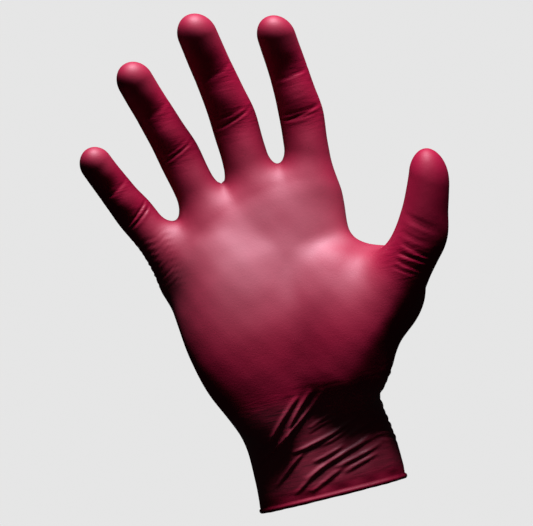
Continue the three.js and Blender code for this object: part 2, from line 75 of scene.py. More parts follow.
def rounded(size: Array, slope: Array) -> Array:
    """Distance-like value of a rounded form, from how far out a point lies and how that grows."""
    return size * (size - 1.0) / (slope + TINY)


def blend(a: Array, b: Array, reach: float) -> Array:
    """Smooth minimum of two fields: the mix of both, less reach * share * (1 - share)."""
    share = np.clip(0.5 + 0.5 * (b - a) / reach, 0.0, 1.0)
    return mix(b, a, share) - reach * share * (1.0 - share)


def unit(vectors: Array) -> Array:
    """Vectors scaled to length 1 along the last axis."""
    return vectors / (np.linalg.norm(vectors, axis=-1, keepdims=True) + TINY)


class Limb(Enum):
    """The glove's five limbs."""

    LITTLE = "little"
    RING = "ring"
    MIDDLE = "middle"
    INDEX = "index"
    THUMB = "thumb"


@dataclass(frozen=True)
class Band:
    """A stretch of height that fades in and out again, in mm."""

    start: float
    full: float
    waning: float
    end: float

    def at(self, z: Array) -> Array:
        """Share from 0 to 1 at a height: the smooth step up times the smooth step down."""
        return ease(self.start, self.full, z) * ease(self.end, self.waning, z)


@dataclass(frozen=True)
class Wave:
    """A wave through space: its size in mm, radians for each mm along X, Y and Z, and phase."""

    size: float
    rate: tuple
    phase: float = 0.0

    def at(self, p: Array) -> Array:
        """Size times the sine of the rates times the place, plus the phase."""
        return self.size * np.sin(p @ np.array(self.rate) + self.phase)


class Column:
    """Columns of a table as smooth curves: cubic pieces that pass through every row."""

    def __init__(self, places: Sequence[float], values: Sequence[Sequence[float]]) -> None:
        """Works out each row's slope from the rises on its two sides.

        Args:
            places: where each row lies, rising.
            values: one row of numbers for each place.
        """
        self.places = np.asarray(places, float)
        self.values = np.asarray(values, float)
        steps = np.diff(self.places)[:, None]
        rises = np.diff(self.values, axis=0) / steps
        inner = (rises[:-1] * steps[1:] + rises[1:] * steps[:-1]) / (steps[:-1] + steps[1:])
        self.slopes = np.concatenate([rises[:1], inner, rises[-1:]])

    def at(self, place: Array) -> Array:
        """Every column's value at the places given, with the columns along a last axis.

        Args:
            place: places along the table, held within its ends.

        Returns:
            The values.
        """
        x = np.clip(place, self.places[0], self.places[-1])
        i = np.clip(np.searchsorted(self.places, x) - 1, 0, len(self.places) - 2)
        step = (self.places[i + 1] - self.places[i])[..., None]
        t = (x - self.places[i])[..., None] / step
        rest = 1.0 - t
        ends = rest * rest * (1 + 2 * t) * self.values[i] + t * t * (3 - 2 * t) * self.values[i + 1]
        return ends + step * t * rest * (rest * self.slopes[i] - t * self.slopes[i + 1])


@dataclass(frozen=True)
class PalmForm:
    """The cuff and palm: rounded-rectangle sections stacked up to an arched knuckle line.

    The rows hold a share of the stretch, then the little-finger edge, thumb edge, front and back
    as shares of that stretch's width and depth.
    """

    cuff_length: float = 36.0
    cuff_width: float = 70.0
    cuff_depth: float = 44.0
    length: float = 110.0
    width: float = 94.0
    depth: float = 30.0
    arch: float = 36.0
    arch_peak: float = 0.16
    arch_span: float = 0.82
    round_over: float = 13.0
    round_below: float = 8.0
    power: float = 2.3
    cuff_rows: tuple = (
        (0.0, -0.5, 0.49, -0.5, 0.5),
        (0.45, -0.488, 0.485, -0.53, 0.44),
    )
    palm_rows: tuple = (
        (0.0, -0.364, 0.336, -0.84, 0.5),
        (0.15, -0.392, 0.312, -0.95, 0.28),
        (0.31, -0.457, 0.328, -1.05, 0.06),
        (0.44, -0.498, 0.36, -1.07, -0.02),
        (0.58, -0.528, 0.375, -1.0, 0.0),
        (0.76, -0.548, 0.38, -0.87, 0.06),
        (0.92, -0.562, 0.37, -0.7, 0.1),
        (1.0, -0.575, 0.365, -0.62, 0.08),
    )

    @property
    def height(self) -> float:
        """Height of the highest knuckle over the cuff rim."""
        return self.cuff_length + self.length

    @property
    def wrist(self) -> float:
        """Share of the height at which the palm begins."""
        return self.cuff_length / self.height

    def column(self) -> Column:
        """Edges and faces in millimetres over the share of the height.

        Returns:
            The table's curves.
        """
        cuff = [(row[0] * self.wrist, row[1:], self.cuff_width, self.cuff_depth)
                for row in self.cuff_rows]
        palm = [(mix(self.wrist, 1.0, row[0]), row[1:], self.width, self.depth)
                for row in self.palm_rows]
        places = [row[0] for row in cuff + palm]
        values = [[r[0] * w, r[1] * w, r[2] * d, r[3] * d] for _, r, w, d in cuff + palm]
        return Column(places, values)

    def top(self, x: Array) -> Array:
        """Height of the knuckle line: highest at the arch's peak, falling with the square."""
        offset = (x - self.arch_peak * self.width) / (self.arch_span * self.width)
        return self.height - self.arch * offset * offset

    def section(self, share: Array) -> tuple[Array, Array, Array, Array]:
        """Centre across, centre in depth and the two half sizes of the section at a share.

        Args:
            share: shares of the height, from 0 to 1.

        Returns:
            Centre across, centre in depth, half width and half depth, in mm.
        """
        edges = self.column().at(share)
        left, right, front, back = (edges[..., k] for k in range(4))
        return (left + right) / 2, (front + back) / 2, (right - left) / 2, (back - front) / 2

    def field(self, p: Array) -> Array:
        """Distance-like value: the power mean of the three shares of the half sizes, less 1.

        Args:
            p: points, in mm, with X, Y and Z along the last axis.

        Returns:
            One value for each point, negative inside.
        """
        top = self.top(p[..., 0])
        over = np.maximum(p[..., 2] - top + self.round_below, 0.0)
        x, y, wide, deep = self.section(np.clip(p[..., 2] / top, 0.0, 1.0))
        n = self.power
        u, v = np.abs(p[..., 0] - x) / wide, np.abs(p[..., 1] - y) / deep
        w = over / self.round_over
        un, vn, wn = u ** (n - 1), v ** (n - 1), w ** (n - 1)
        size = (un * u + vn * v + wn * w) ** (1 / n) + TINY
        slope = np.sqrt((un / wide) ** 2 + (vn / deep) ** 2 + (wn / self.round_over) ** 2)
        return (size - 1.0) / (slope * size ** (1 - n) + TINY)

    def guess(self, share: Array, angle: Array) -> Array:
        """First place of a cage point: share of the height, angle round the section.

        Args:
            share: shares of the height.
            angle: angles round the section.

        Returns:
            The places, in mm.
        """
        x, y, wide, deep = self.section(share)
        c, s = np.cos(angle), np.sin(angle)
        n = 2 / self.power
        across = x + wide * np.sign(c) * np.abs(c) ** n
        depth = y + deep * np.sign(s) * np.abs(s) ** n
        return np.stack([across, depth, share * self.top(across)], axis=-1)


FINGER_ROWS = (
    (-0.5, 0.45, 0.45, 0.3, 0.25),
    (-0.2, 0.8, 0.75, 0.6, 0.65),
    (0.0, 1.02, 0.99, 0.86, 0.98),
    (0.24, 1.01, 0.99, 0.92, 0.92),
    (0.42, 1.0, 1.02, 0.84, 0.98),
    (0.57, 0.93, 0.93, 0.95, 0.86),
    (0.73, 0.88, 0.9, 0.8, 0.84),
    (0.87, 0.87, 0.87, 0.9, 0.76),
    (0.965, 0.86, 0.86, 0.87, 0.73),
)
THUMB_ROWS = (
    (0.0, 1.22, 0.55, 1.2, 1.1),
    (0.22, 1.3, 0.66, 1.2, 1.05),
    (0.42, 1.26, 1.0, 1.1, 1.0),
    (0.6, 1.06, 1.04, 0.98, 0.95),
    (0.74, 0.98, 1.12, 0.9, 0.92),
    (0.86, 0.9, 0.93, 0.86, 0.78),
    (0.95, 0.84, 0.9, 0.82, 0.74),
)


class LimbForm:
    """A finger or the thumb: elliptical sections along a bent line, closed by a round tip.

    The rows hold a share of the length, then the half sizes to the minus and plus sides, front
    and back, as shares of half the width. The round tip is as long as the last row's first half
    size, plus tip_share of the stretch from that row to the end of the last bone.
    """

    tip_share = 0.8

    def __init__(self, limb: Limb, palm: PalmForm, length: float, width: float,
                 root: tuple, bones: tuple, lean: tuple, curl: tuple,
                 rows: tuple = FINGER_ROWS) -> None:
        """Lays the bones end to end and turns their offsets from the chord into smooth curves.

        Args:
            limb: which limb it is.
            palm: the palm that the root's shares refer to.
            length: the length that the bones' shares refer to, in mm.
            width: nominal width, in mm.
            root: shares of the palm's width, depth and length.
            bones: shares of the length.
            lean: each bone's lean to the thumb side, in degrees.
            curl: each bone's curl to the palm side, in degrees.
            rows: the table of sections.
        """
        self.limb = limb
        self.root = np.array([root[0] * palm.width, root[1] * palm.depth,
                              palm.cuff_length + root[2] * palm.length])
        a, b = np.radians(lean), np.radians(curl)
        ways = np.stack([np.sin(a) * np.cos(b), -np.sin(b), np.cos(a) * np.cos(b)], axis=1)
        steps = ways * (np.array(bones) * length)[:, None]
        offsets = np.concatenate([np.zeros((1, 3)), np.cumsum(steps, axis=0)])
        self.axis = unit(offsets[-1])
        self.side = unit(np.cross([0.0, 1.0, 0.0], self.axis))
        self.backward = np.cross(self.axis, self.side)
        stations = offsets @ self.axis
        self.length = float(stations[-1])
        self.bend = Column(stations, np.stack([offsets @ self.side, offsets @ self.backward], 1))
        table = np.array(rows)
        self.half_width = width / 2
        self.half = Column(table[:, 0] * self.length, table[:, 1:] * self.half_width)
        self.start = float(table[0, 0] * self.length)
        self.end = float(table[-1, 0] * self.length)
        past_end = (self.length - self.end) * self.tip_share
        self.cap = float(table[-1, 1] * self.half_width + past_end)

    def local(self, p: Array) -> tuple[Array, Array, Array]:
        """Place of points along, across and behind the limb's own bent line.

        Args:
            p: points, in mm, with X, Y and Z along the last axis.

        Returns:
            Along, across and behind, in mm.
        """
        rel = p - self.root
        along = rel @ self.axis
        bend = self.bend.at(along) + self.past(along)
        return along, rel @ self.side - bend[..., 0], rel @ self.backward - bend[..., 1]

    def past(self, along: Array) -> Array:
        """Offsets of the line past its two ends, where it runs on straight."""
        before = np.minimum(along, 0.0)[..., None] * self.bend.slopes[0]
        return before + np.maximum(along - self.length, 0.0)[..., None] * self.bend.slopes[-1]

    def field(self, p: Array) -> Array:
        """Distance-like value of an ellipse whose half sizes change along the limb.

        Args:
            p: points, in mm, with X, Y and Z along the last axis.

        Returns:
            One value for each point, negative inside.
        """
        along, across, behind = self.local(p)
        station = np.clip(along, self.start, self.end)
        half = self.half.at(station)
        wide = np.where(across < 0, half[..., 0], half[..., 1])
        deep = np.where(behind < 0, half[..., 2], half[..., 3])
        u, v, w = across / wide, behind / deep, (along - station) / self.cap
        size = np.sqrt(u * u + v * v + w * w) + TINY
        slope = np.sqrt((u / wide) ** 2 + (v / deep) ** 2 + (w / self.cap) ** 2)
        return rounded(size, slope)

    def guess(self, along: Array, angle: Array, over: Array = 0.0) -> Array:
        """First place of a cage point: distance along, angle round, share over the tip.

        Args:
            along: distances along the limb, in mm.
            angle: angles round it.
            over: shares of the way over the tip.

        Returns:
            The places, in mm.
        """
        station = np.clip(along, self.start, self.end) + 0.0 * angle
        half = self.half.at(station)
        far = station + self.cap * np.sin(over * math.pi / 2)
        bend = self.bend.at(far) + self.past(far)
        c, s = np.cos(angle), np.sin(angle)
        shrink = np.cos(over * math.pi / 2)
        wide = np.where(c < 0, half[..., 0], half[..., 1]) * c * shrink + bend[..., 0]
        deep = np.where(s < 0, half[..., 2], half[..., 3]) * s * shrink + bend[..., 1]
        return (self.root + far[..., None] * self.axis + wide[..., None] * self.side
                + deep[..., None] * self.backward)


@dataclass(frozen=True)
class PadForm:
    """A rounded pad under the film: centre and radii in shares of the palm.

    Its softness is a share of the reach over which the pads blend into the palm.
    """

    centre: tuple
    radii: tuple
    soft: float = 1.0

    def field(self, p: Array, palm: PalmForm) -> Array:
        """Distance-like value of an ellipsoid.

        Args:
            p: points, in mm, with X, Y and Z along the last axis.
            palm: the palm that the shares refer to.

        Returns:
            One value for each point, negative inside.
        """
        size = np.array([palm.width, palm.depth, palm.length])
        radii = np.array(self.radii) * size
        q = (p - np.array(self.centre) * size - [0.0, 0.0, palm.cuff_length]) / radii
        return rounded(np.linalg.norm(q, axis=-1) + TINY, np.linalg.norm(q / radii, axis=-1))


@dataclass
class GloveForm:
    """The whole outer form, negative inside, without its folds."""

    palm: PalmForm = PalmForm()
    finger_web: float = 3.5
    knuckle_blend: float = 9.0
    thumb_blend: float = 14.0
    pad_blend: float = 14.0
    probe: float = 0.05
    longest_step: float = 6.0

    def __post_init__(self) -> None:
        """Sets up the five limbs and the pads."""
        palm = self.palm
        self.fingers = [
            LimbForm(Limb.LITTLE, palm, length=55.0, width=17.6, root=(-0.512, -0.36, 0.845),
                     bones=(0.434, 0.321, 0.245), lean=(-26.5, -24.5, -22), curl=(7, 19, 29)),
            LimbForm(Limb.RING, palm, length=73.5, width=19.4, root=(-0.27, -0.32, 0.961),
                     bones=(0.468, 0.34, 0.192), lean=(-13, -16.8, -16.5), curl=(6, 19, 29)),
            LimbForm(Limb.MIDDLE, palm, length=80.2, width=21.0, root=(-0.02, -0.28, 1.015),
                     bones=(0.443, 0.352, 0.205), lean=(-3, -9.3, -9.2), curl=(6, 19, 29)),
            LimbForm(Limb.INDEX, palm, length=71.4, width=20.4, root=(0.266, -0.29, 0.995),
                     bones=(0.435, 0.362, 0.203), lean=(4.6, -3.2, -5), curl=(5, 13, 28)),
        ]
        self.thumb = LimbForm(Limb.THUMB, palm, length=104.0, width=23.0,
                              root=(0.2, -0.63, 0.184), bones=(0.412, 0.365, 0.215),
                              lean=(46, 36, 20), curl=(12, 14, 10), rows=THUMB_ROWS)
        self.pads = [
            # Web and ball of the thumb, and the outer heel
            PadForm((0.43, -0.5, 0.46), (0.24, 0.3, 0.2)),
            PadForm((0.26, -0.78, 0.34), (0.205, 0.42, 0.3)),
            PadForm((-0.24, -0.71, 0.38), (0.2, 0.36, 0.4)),
            # Balls under the little, ring and index fingers
            PadForm((-0.4, -0.3, 0.8), (0.15, 0.34, 0.14)),
            PadForm((-0.18, -0.26, 0.87), (0.15, 0.34, 0.14)),
            PadForm((0.14, -0.24, 0.9), (0.18, 0.34, 0.14)),
            # Knuckles on the back, from the little finger to the index finger
            PadForm((-0.45, -0.26, 0.74), (0.09, 0.2, 0.12), 0.6),
            PadForm((-0.25, -0.23, 0.83), (0.1, 0.22, 0.12), 0.6),
            PadForm((-0.01, -0.2, 0.87), (0.11, 0.24, 0.13), 0.6),
            PadForm((0.23, -0.21, 0.85), (0.11, 0.22, 0.13), 0.6),
        ]

    @property
    def limbs(self) -> list[LimbForm]:
        """The fingers, then the thumb."""
        return [*self.fingers, self.thumb]

    def field(self, p: Array) -> Array:
        """Palm with its pads, then the fan of fingers, then the thumb, each blended in.

        Args:
            p: points, in mm, with X, Y and Z along the last axis.

        Returns:
            One value for each point.
        """
        body = self.palm.field(p)
        for pad in self.pads:
            body = blend(body, pad.field(p, self.palm), pad.soft * self.pad_blend)
        fan = self.fingers[0].field(p)
        for finger in self.fingers[1:]:
            fan = blend(fan, finger.field(p), self.finger_web)
        return blend(blend(body, fan, self.knuckle_blend), self.thumb.field(p), self.thumb_blend)

    def slope(self, p: Array) -> tuple[Array, Array]:
        """Value of the form, and its growth along each axis by a small step.

        Args:
            p: points, in mm, with X, Y and Z along the last axis.

        Returns:
            The values, and their growth for each mm along X, Y and Z.
        """
        value = self.field(p)
        steps = np.eye(3) * self.probe
        way = np.stack([self.field(p + step) - value for step in steps], axis=-1) / self.probe
        return value, way

    def settle(self, p: Array, rounds: int = 1) -> Array:
        """Moves points along the slope onto the form: value over slope squared, each round.

        Args:
            p: points, in mm, with X, Y and Z along the last axis.
            rounds: how often.

        Returns:
            The moved points.
        """
        for _ in range(rounds):
            value, way = self.slope(p)
            step = -value / ((way * way).sum(-1) + TINY)
            limit = self.longest_step / (np.linalg.norm(way, axis=-1) + TINY)
            p = p + way * np.clip(step, -limit, limit)[..., None]
        return p


@dataclass
class Mesh:
    """Points, and quads that face outwards."""

    points: Array
    quads: Array

    def refined(self, parts: int) -> tuple["Mesh", Array]:
        """Cuts every quad into parts by parts, each new point the two-way mix of the corners.

        Args:
            parts: cuts along each edge.

        Returns:
            The finer mesh, and for each old quad its grid of new point numbers.
        """
        share = np.arange(parts + 1) / parts
        u, v = np.meshgrid(share, share, indexing="ij")
        weights = np.stack([(1 - u) * (1 - v), u * (1 - v), u * v, (1 - u) * v], axis=-1)
        every = np.einsum("ijc,qcx->qijx", weights, self.points[self.quads])
        keys = np.round(every.reshape(-1, 3) * WELD_STEPS).astype(np.int64)
        _, first, number = np.unique(keys, axis=0, return_index=True, return_inverse=True)
        grid = number.reshape(len(self.quads), parts + 1, parts + 1)
        corners = [grid[:, :-1, :-1], grid[:, 1:, :-1], grid[:, 1:, 1:], grid[:, :-1, 1:]]
        quads = np.stack(corners, axis=-1).reshape(-1, 4)
        return Mesh(every.reshape(-1, 3)[first], quads), grid

    def relaxed(self, form: GloveForm, freedom: Array, rounds: int, pull: float = 0.6) -> "Mesh":
        """Smooths as a stretched film would: each point moves to the mean of its neighbours.

        Args:
            form: the form that every round steps back onto.
            freedom: how far each point may move, from 0 to 1.
            rounds: how often.
            pull: share of the way to the mean in one round.

        Returns:
            The mesh with its points moved.
        """
        pairs = np.stack([self.quads, np.roll(self.quads, -1, axis=1)], -1).reshape(-1, 2)
        pairs = np.unique(np.sort(pairs, axis=1), axis=0)
        both = np.concatenate([pairs, pairs[:, ::-1]])
        count = np.bincount(both[:, 0], minlength=len(self.points))[:, None]
        points, moving = self.points.copy(), np.flatnonzero(freedom > 0)
        for _ in range(rounds):
            total = np.stack([np.bincount(both[:, 0], points[both[:, 1], k], len(points))
                              for k in range(3)], axis=-1)
            aim = mix(points, total / count, pull * freedom[:, None])
            points[moving] = form.settle(aim[moving])
        return Mesh(points, self.quads)


@dataclass
class Cage:
    """Coarse quads wrapped round the form: palm rings, finger and thumb rings, and tip patches.

    The counts are in quads, the places are shares of a limb up to its round tip, and the thumb
    grows from a hole that is left in the palm's side.
    """

    form: GloveForm
    front: int = 6
    side: int = 5
    cuff_rows: int = 20
    palm_rows: int = 20
    hole_start: int = 24
    hole_rows: int = 7
    rounds: int = 45
    first_settle: int = 3
    last_settle: int = 2
    front_angle: float = 122.0
    bead_radius: float = 1.3
    finger_places: tuple = (0.12, 0.2, 0.27, 0.32, 0.36, 0.39, 0.42, 0.45, 0.49, 0.55, 0.61,
                            0.66, 0.7, 0.74, 0.8, 0.88, 0.95, 1.0)
    thumb_places: tuple = (0.26, 0.33, 0.4, 0.45, 0.49, 0.52, 0.55, 0.58, 0.61, 0.64, 0.67,
                           0.71, 0.76, 0.83, 0.92, 1.0)
    tip_places: tuple = (0.2, 0.4, 0.6)
    free_rows: int = 5
    cuff_share: float = 1.32
    free_stretch: float = 0.2
    web_place: float = 0.3
    web_step: float = 0.5
    thumb_start: float = 0.16
    patch_rise: float = 0.2

    def __post_init__(self) -> None:
        """Starts with no points."""
        self.points: list[Array] = []
        self.freedom: list[Array] = []
        self.quads: list[Array] = []
        self.total = 0

    @property
    def front_columns(self) -> int:
        """Quads across the front of the palm."""
        return len(self.form.fingers) * self.front

    @property
    def columns(self) -> int:
        """Quads round the palm."""
        return 2 * (self.front_columns + self.side)

    def add(self, places: Array, free: Array) -> Array:
        """Adds points and gives their numbers in the same shape.

        Args:
            places: points in any grid.
            free: how far each may move later, 0 to 1.

        Returns:
            The points' numbers.
        """
        flat = places.reshape(-1, 3)
        numbers = np.arange(self.total, self.total + len(flat)).reshape(places.shape[:-1])
        self.points.append(flat)
        self.freedom.append(np.broadcast_to(free, places.shape[:-1]).reshape(-1).astype(float))
        self.total += len(flat)
        return numbers

    def place(self) -> Array:
        """All points so far."""
        return np.concatenate(self.points)

    @staticmethod
    def bands(rings: Array, closed: bool = True) -> Array:
        """Quads between the rows of a grid of numbers, as (row, column, corner).

        Args:
            rings: a grid of numbers, one row for each ring.
            closed: whether the last column joins the first.

        Returns:
            The quads.
        """
        after = np.roll(rings, -1, axis=1)
        quads = np.stack([rings[:-1], after[:-1], after[1:], rings[1:]], axis=-1)
        return quads if closed else quads[:, :-1]

    @staticmethod
    def angles(front: int, side: int, front_angle: float) -> Array:
        """Angles round a section of two fronts and two sides, from the little-finger corner.

        Args:
            front: quads across the front.
            side: quads across a side.
            front_angle: angle that the front takes up.

        Returns:
            The angles.
        """
        start = -math.pi / 2 - front_angle / 2
        fore = start + front_angle * np.arange(front) / front
        edge = start + front_angle + (math.pi - front_angle) * np.arange(side) / side
        half = np.concatenate([fore, edge])
        return np.concatenate([half, half + math.pi])

    def limb_angles(self, front: int) -> Array:
        """Angles round a limb whose quads are all of one size."""
        return self.angles(front, self.side, math.pi * front / (front + self.side))

    def palm_rings(self) -> Array:
        """Rings of the cuff and palm; the points inside the thumb's hole are left out.

        Returns:
            The grid of numbers, with -1 inside the hole.
        """
        palm = self.form.palm
        cuff_end = palm.wrist * self.cuff_share
        rim = 2 * self.bead_radius / palm.height
        shares = np.concatenate([np.linspace(rim, cuff_end, self.cuff_rows, endpoint=False),
                                 np.linspace(cuff_end, 1.0, self.palm_rows + 1)])
        angles = self.angles(self.front_columns, self.side, math.radians(self.front_angle))
        places = palm.guess(shares[:, None] + 0.0 * angles, angles[None, :] + 0.0 * shares[:, None])
        free = ease(palm.wrist, palm.wrist + self.free_stretch, shares)[:, None] + 0.0 * angles
        rows, cols = np.indices(free.shape)
        inside = ((rows > self.hole_start) & (rows < self.hole_start + self.hole_rows)
                  & (cols > self.front_columns) & (cols < self.front_columns + self.side))
        numbers = np.full(free.shape, -1)
        numbers[~inside] = self.add(places[~inside], free[~inside])
        quads = self.bands(numbers)
        rows, cols = np.indices(quads.shape[:2])
        hole = ((rows >= self.hole_start) & (rows < self.hole_start + self.hole_rows)
                & (cols >= self.front_columns) & (cols < self.front_columns + self.side))
        self.quads.append(quads[~hole])
        return numbers

    def web_strip(self, first: LimbForm, second: LimbForm, front: int, back: int) -> Array:
        """Points of the crotch between two fingers, lowered until they touch the form.

        Args:
            first: the finger on the little finger's side.
            second: the finger on the thumb's side.
            front: number of the crotch's front point.
            back: number of its back point.

        Returns:
            The strip's numbers, from front to back.
        """
        a = first.guess(np.array(first.length * self.web_place), np.array(0.0))
        b = second.guess(np.array(second.length * self.web_place), np.array(math.pi))
        share = np.arange(1, self.side)[:, None] / self.side
        known = self.place()
        strip = mix(known[front], known[back], share)
        strip[:, 0] = (a[0] + b[0]) / 2
        strip[:, 2] = max(a[2], b[2])
        outside = self.form.field(strip) > 0
        while outside.any():
            strip[outside, 2] -= self.web_step
            outside = (self.form.field(strip) > 0) & (strip[:, 2] > 0)
        return self.add(strip, np.array(1.0))

    def close_limb(self, limb: LimbForm, first: Array, front: int, places: tuple) -> None:
        """Rings of a limb over its first ring, then the patch that closes its tip.

        Args:
            limb: the limb.
            first: numbers of its first ring.
            front: quads across its front.
            places: where its rings lie, as shares.
        """
        angles = self.limb_angles(front)
        along = limb.end * np.array(places)[:, None]
        free = np.clip(1 - (np.arange(len(places)) + 1) / (self.free_rows + 1), 0, 1)[:, None]
        body = self.add(limb.guess(along, angles[None, :] + 0.0 * along), free + 0.0 * angles)
        over = np.array(self.tip_places)[:, None]
        end = np.full_like(over, limb.end)
        cap = self.add(limb.guess(end, angles[None, :] + 0.0 * over, over), np.array(0.0))
        rings = np.concatenate([first[None, :], body, cap])
        self.quads.append(self.bands(rings).reshape(-1, 4))
        last = rings[-1]
        left = last[len(last) - np.arange(1, self.side)]
        right = last[front + np.arange(1, self.side)]
        known = self.place()
        share = (np.arange(1, front) / front)[None, :, None]
        rise = limb.axis * limb.cap * self.patch_rise
        inner = mix(known[left][:, None], known[right][:, None], share) + rise
        patch = self.add(inner, np.array(1.0))
        grid = np.concatenate([
            last[None, :front + 1],
            np.concatenate([left[:, None], patch, right[:, None]], axis=1),
            last[front + self.side:2 * front + self.side + 1][None, ::-1],
        ])
        self.quads.append(self.bands(grid, closed=False).reshape(-1, 4))

    def fingers(self, top: Array) -> None:
        """Four fingers on the palm's top ring, with a shared strip of points in each crotch.

        Args:
            top: numbers of the palm's top ring.
        """
        fingers, n, side = self.form.fingers, self.columns, self.side
        backs = top[(n - side - np.arange(self.front_columns + 1)) % n]
        strips = [self.web_strip(fingers[i], fingers[i + 1], top[(i + 1) * self.front],
                                 backs[(i + 1) * self.front]) for i in range(len(fingers) - 1)]
        thumb_side = top[self.front_columns + 1:self.front_columns + side]
        little_side = top[n - side + 1:]
        plus = [*strips, thumb_side]
        minus = [little_side, *[strip[::-1] for strip in strips]]
        for i, finger in enumerate(fingers):
            low, high = i * self.front, (i + 1) * self.front + 1
            first = np.concatenate([top[low:high], plus[i], backs[low:high][::-1], minus[i]])
            self.close_limb(finger, first, self.front, self.finger_places)

    def thumb(self, rings: Array) -> None:
        """The thumb on the edge of its hole in the palm's side.

        Args:
            rings: numbers of the palm's rings.
        """
        low, high = self.hole_start, self.hole_start + self.hole_rows
        palm_side, back_side = self.front_columns, self.front_columns + self.side
        between = rings[low + 1:high]
        first = np.concatenate([between[::-1, palm_side], rings[low, palm_side:back_side + 1],
                                between[:, back_side], rings[high, palm_side:back_side + 1][::-1]])
        first = np.roll(first, 1)
        thumb = self.form.thumb
        known = self.place()
        angles = self.limb_angles(self.hole_rows)
        start = np.full(len(first), thumb.length * self.thumb_start)
        known[first] = thumb.guess(start, angles)
        self.points = [known]
        self.close_limb(thumb, first, self.hole_rows, self.thumb_places)

    def mesh(self) -> tuple[Mesh, int]:
        """The relaxed cage.

        Returns:
            The cage, and how many quads its first row has.
        """
        rings = self.palm_rings()
        self.fingers(rings[-1])
        self.thumb(rings)
        freedom = np.concatenate(self.freedom)
        start = Mesh(self.place(), np.concatenate(self.quads))
        held = rings[0]
        start.points = self.form.settle(start.points, self.first_settle)
        cage = start.relaxed(self.form, freedom, self.rounds)
        settled = self.form.settle(cage.points, self.last_settle)
        settled[held] = cage.points[held]
        return Mesh(settled, cage.quads), self.columns


@dataclass(frozen=True)
class Fold:
    """One fold of the film at the wrist, from one place to another, in mm over X and Z."""

    x1: float
    z1: float
    x2: float
    z2: float
    rise: float
    reach: float = 1.3
    bow: float = 0.0


@dataclass(frozen=True)
class Crease:
    """One crease across a limb.

    Its place is a share of the length, its depth and reach are in mm, its tilt is a share of the
    length from side to side, and its centre and span are shares of half the width.
    """

    along: float
    deep: float
    reach: float = 0.9
    tilt: float = 0.0
    centre: float = 0.0
    span: float = 1.1
    lip: float = 0.35


WRIST_FOLDS = (
    Fold(-24.0, 30.5, -5.0, 49.5, 1.0, 0.85, 0.8),
    Fold(-15.5, 32.5, 1.5, 50.5, 1.2, 0.9, 1.0),
    Fold(-33.5, 21.0, 7.0, 49.0, 1.2, 0.8, -0.8),
    Fold(-4.0, 33.4, 12.5, 39.0, 0.7, 0.75, 0.6),
    Fold(-4.5, 31.6, 11.5, 35.8, 0.55, 0.7, 0.8),
    Fold(-14.5, 24.4, 19.0, 33.6, 1.0, 0.9, -1.2),
    Fold(-1.0, 24.6, 17.0, 31.0, 0.65, 0.75, -0.8),
    Fold(-6.0, 18.0, 10.0, 22.6, 0.65, 0.75, -0.4),
    Fold(-25.0, 11.0, -8.0, 24.5, 0.75, 0.85, 0.4),
    Fold(-12.0, 10.8, 30.5, 24.0, 0.9, 0.9, 1.4),
    Fold(3.0, 13.2, 27.0, 19.0, 0.65, 0.8, -0.4),
    Fold(-10.0, 4.6, 8.5, 13.4, 0.6, 0.85, 0.2),
    Fold(-17.5, 5.4, -1.0, 15.8, 0.6, 0.8, 0.2),
    Fold(7.0, 10.0, 24.0, 14.8, 0.55, 0.8, 0.2),
    Fold(-30.0, 14.0, -18.0, 26.0, 0.5, 0.8, 0.0),
    Fold(12.0, 25.6, 31.0, 31.0, 0.55, 0.8, 0.3),
    Fold(6.0, 41.5, 20.0, 46.0, 0.45, 0.7, 0.3),
    Fold(-20.0, 27.5, -9.0, 37.5, 0.4, 0.7, 0.2),
    Fold(16.0, 21.5, 31.5, 26.5, 0.5, 0.7, 0.3),
)
CREASES = {
    Limb.INDEX: (
        Crease(0.46, 0.35, 0.5, 0.02),
        Crease(0.437, 0.5, 0.55, 0.05),
        Crease(0.418, 0.3, 0.5, 0.02, -0.1, 0.9),
        Crease(0.7, 0.35, 0.8, 0.03),
        Crease(0.575, 0.1, 0.5, 0.02, 0.3, 0.6, 0.2),
    ),
    Limb.MIDDLE: (
        Crease(0.465, 0.3, 0.5, 0.03, -0.1, 0.9),
        Crease(0.425, 0.4, 0.55, 0.06),
        Crease(0.72, 0.3, 0.8, 0.05),
    ),
    Limb.RING: (
        Crease(0.47, 0.35, 0.5, 0.03, 0.1, 0.9),
        Crease(0.435, 0.45, 0.55, 0.04),
        Crease(0.5, 0.15, 0.5, 0.05, 0.1, 0.5),
        Crease(0.74, 0.25, 0.9, 0.03),
    ),
    Limb.LITTLE: (
        Crease(0.42, 0.5, 0.6, 0.08),
        Crease(0.375, 0.4, 0.6, 0.06, 0.1, 0.9),
        Crease(0.7, 0.25, 0.8, 0.03),
    ),
    Limb.THUMB: (
        Crease(0.77, 0.6, 0.7, -0.02),
        Crease(0.7, 0.3, 0.6, 0.01, -0.1, 0.8, 0.5),
        Crease(0.65, 0.45, 0.6, -0.02, 0.1, 0.8, 0.5),
        Crease(0.615, 0.5, 0.6, 0.02, 0.1, 0.8, 0.5),
        Crease(0.575, 0.4, 0.5, 0.0, 0.1, 0.7, 0.3),
        Crease(0.545, 0.25, 0.5, 0.02, 0.0, 0.6, 0.2),
    ),
}


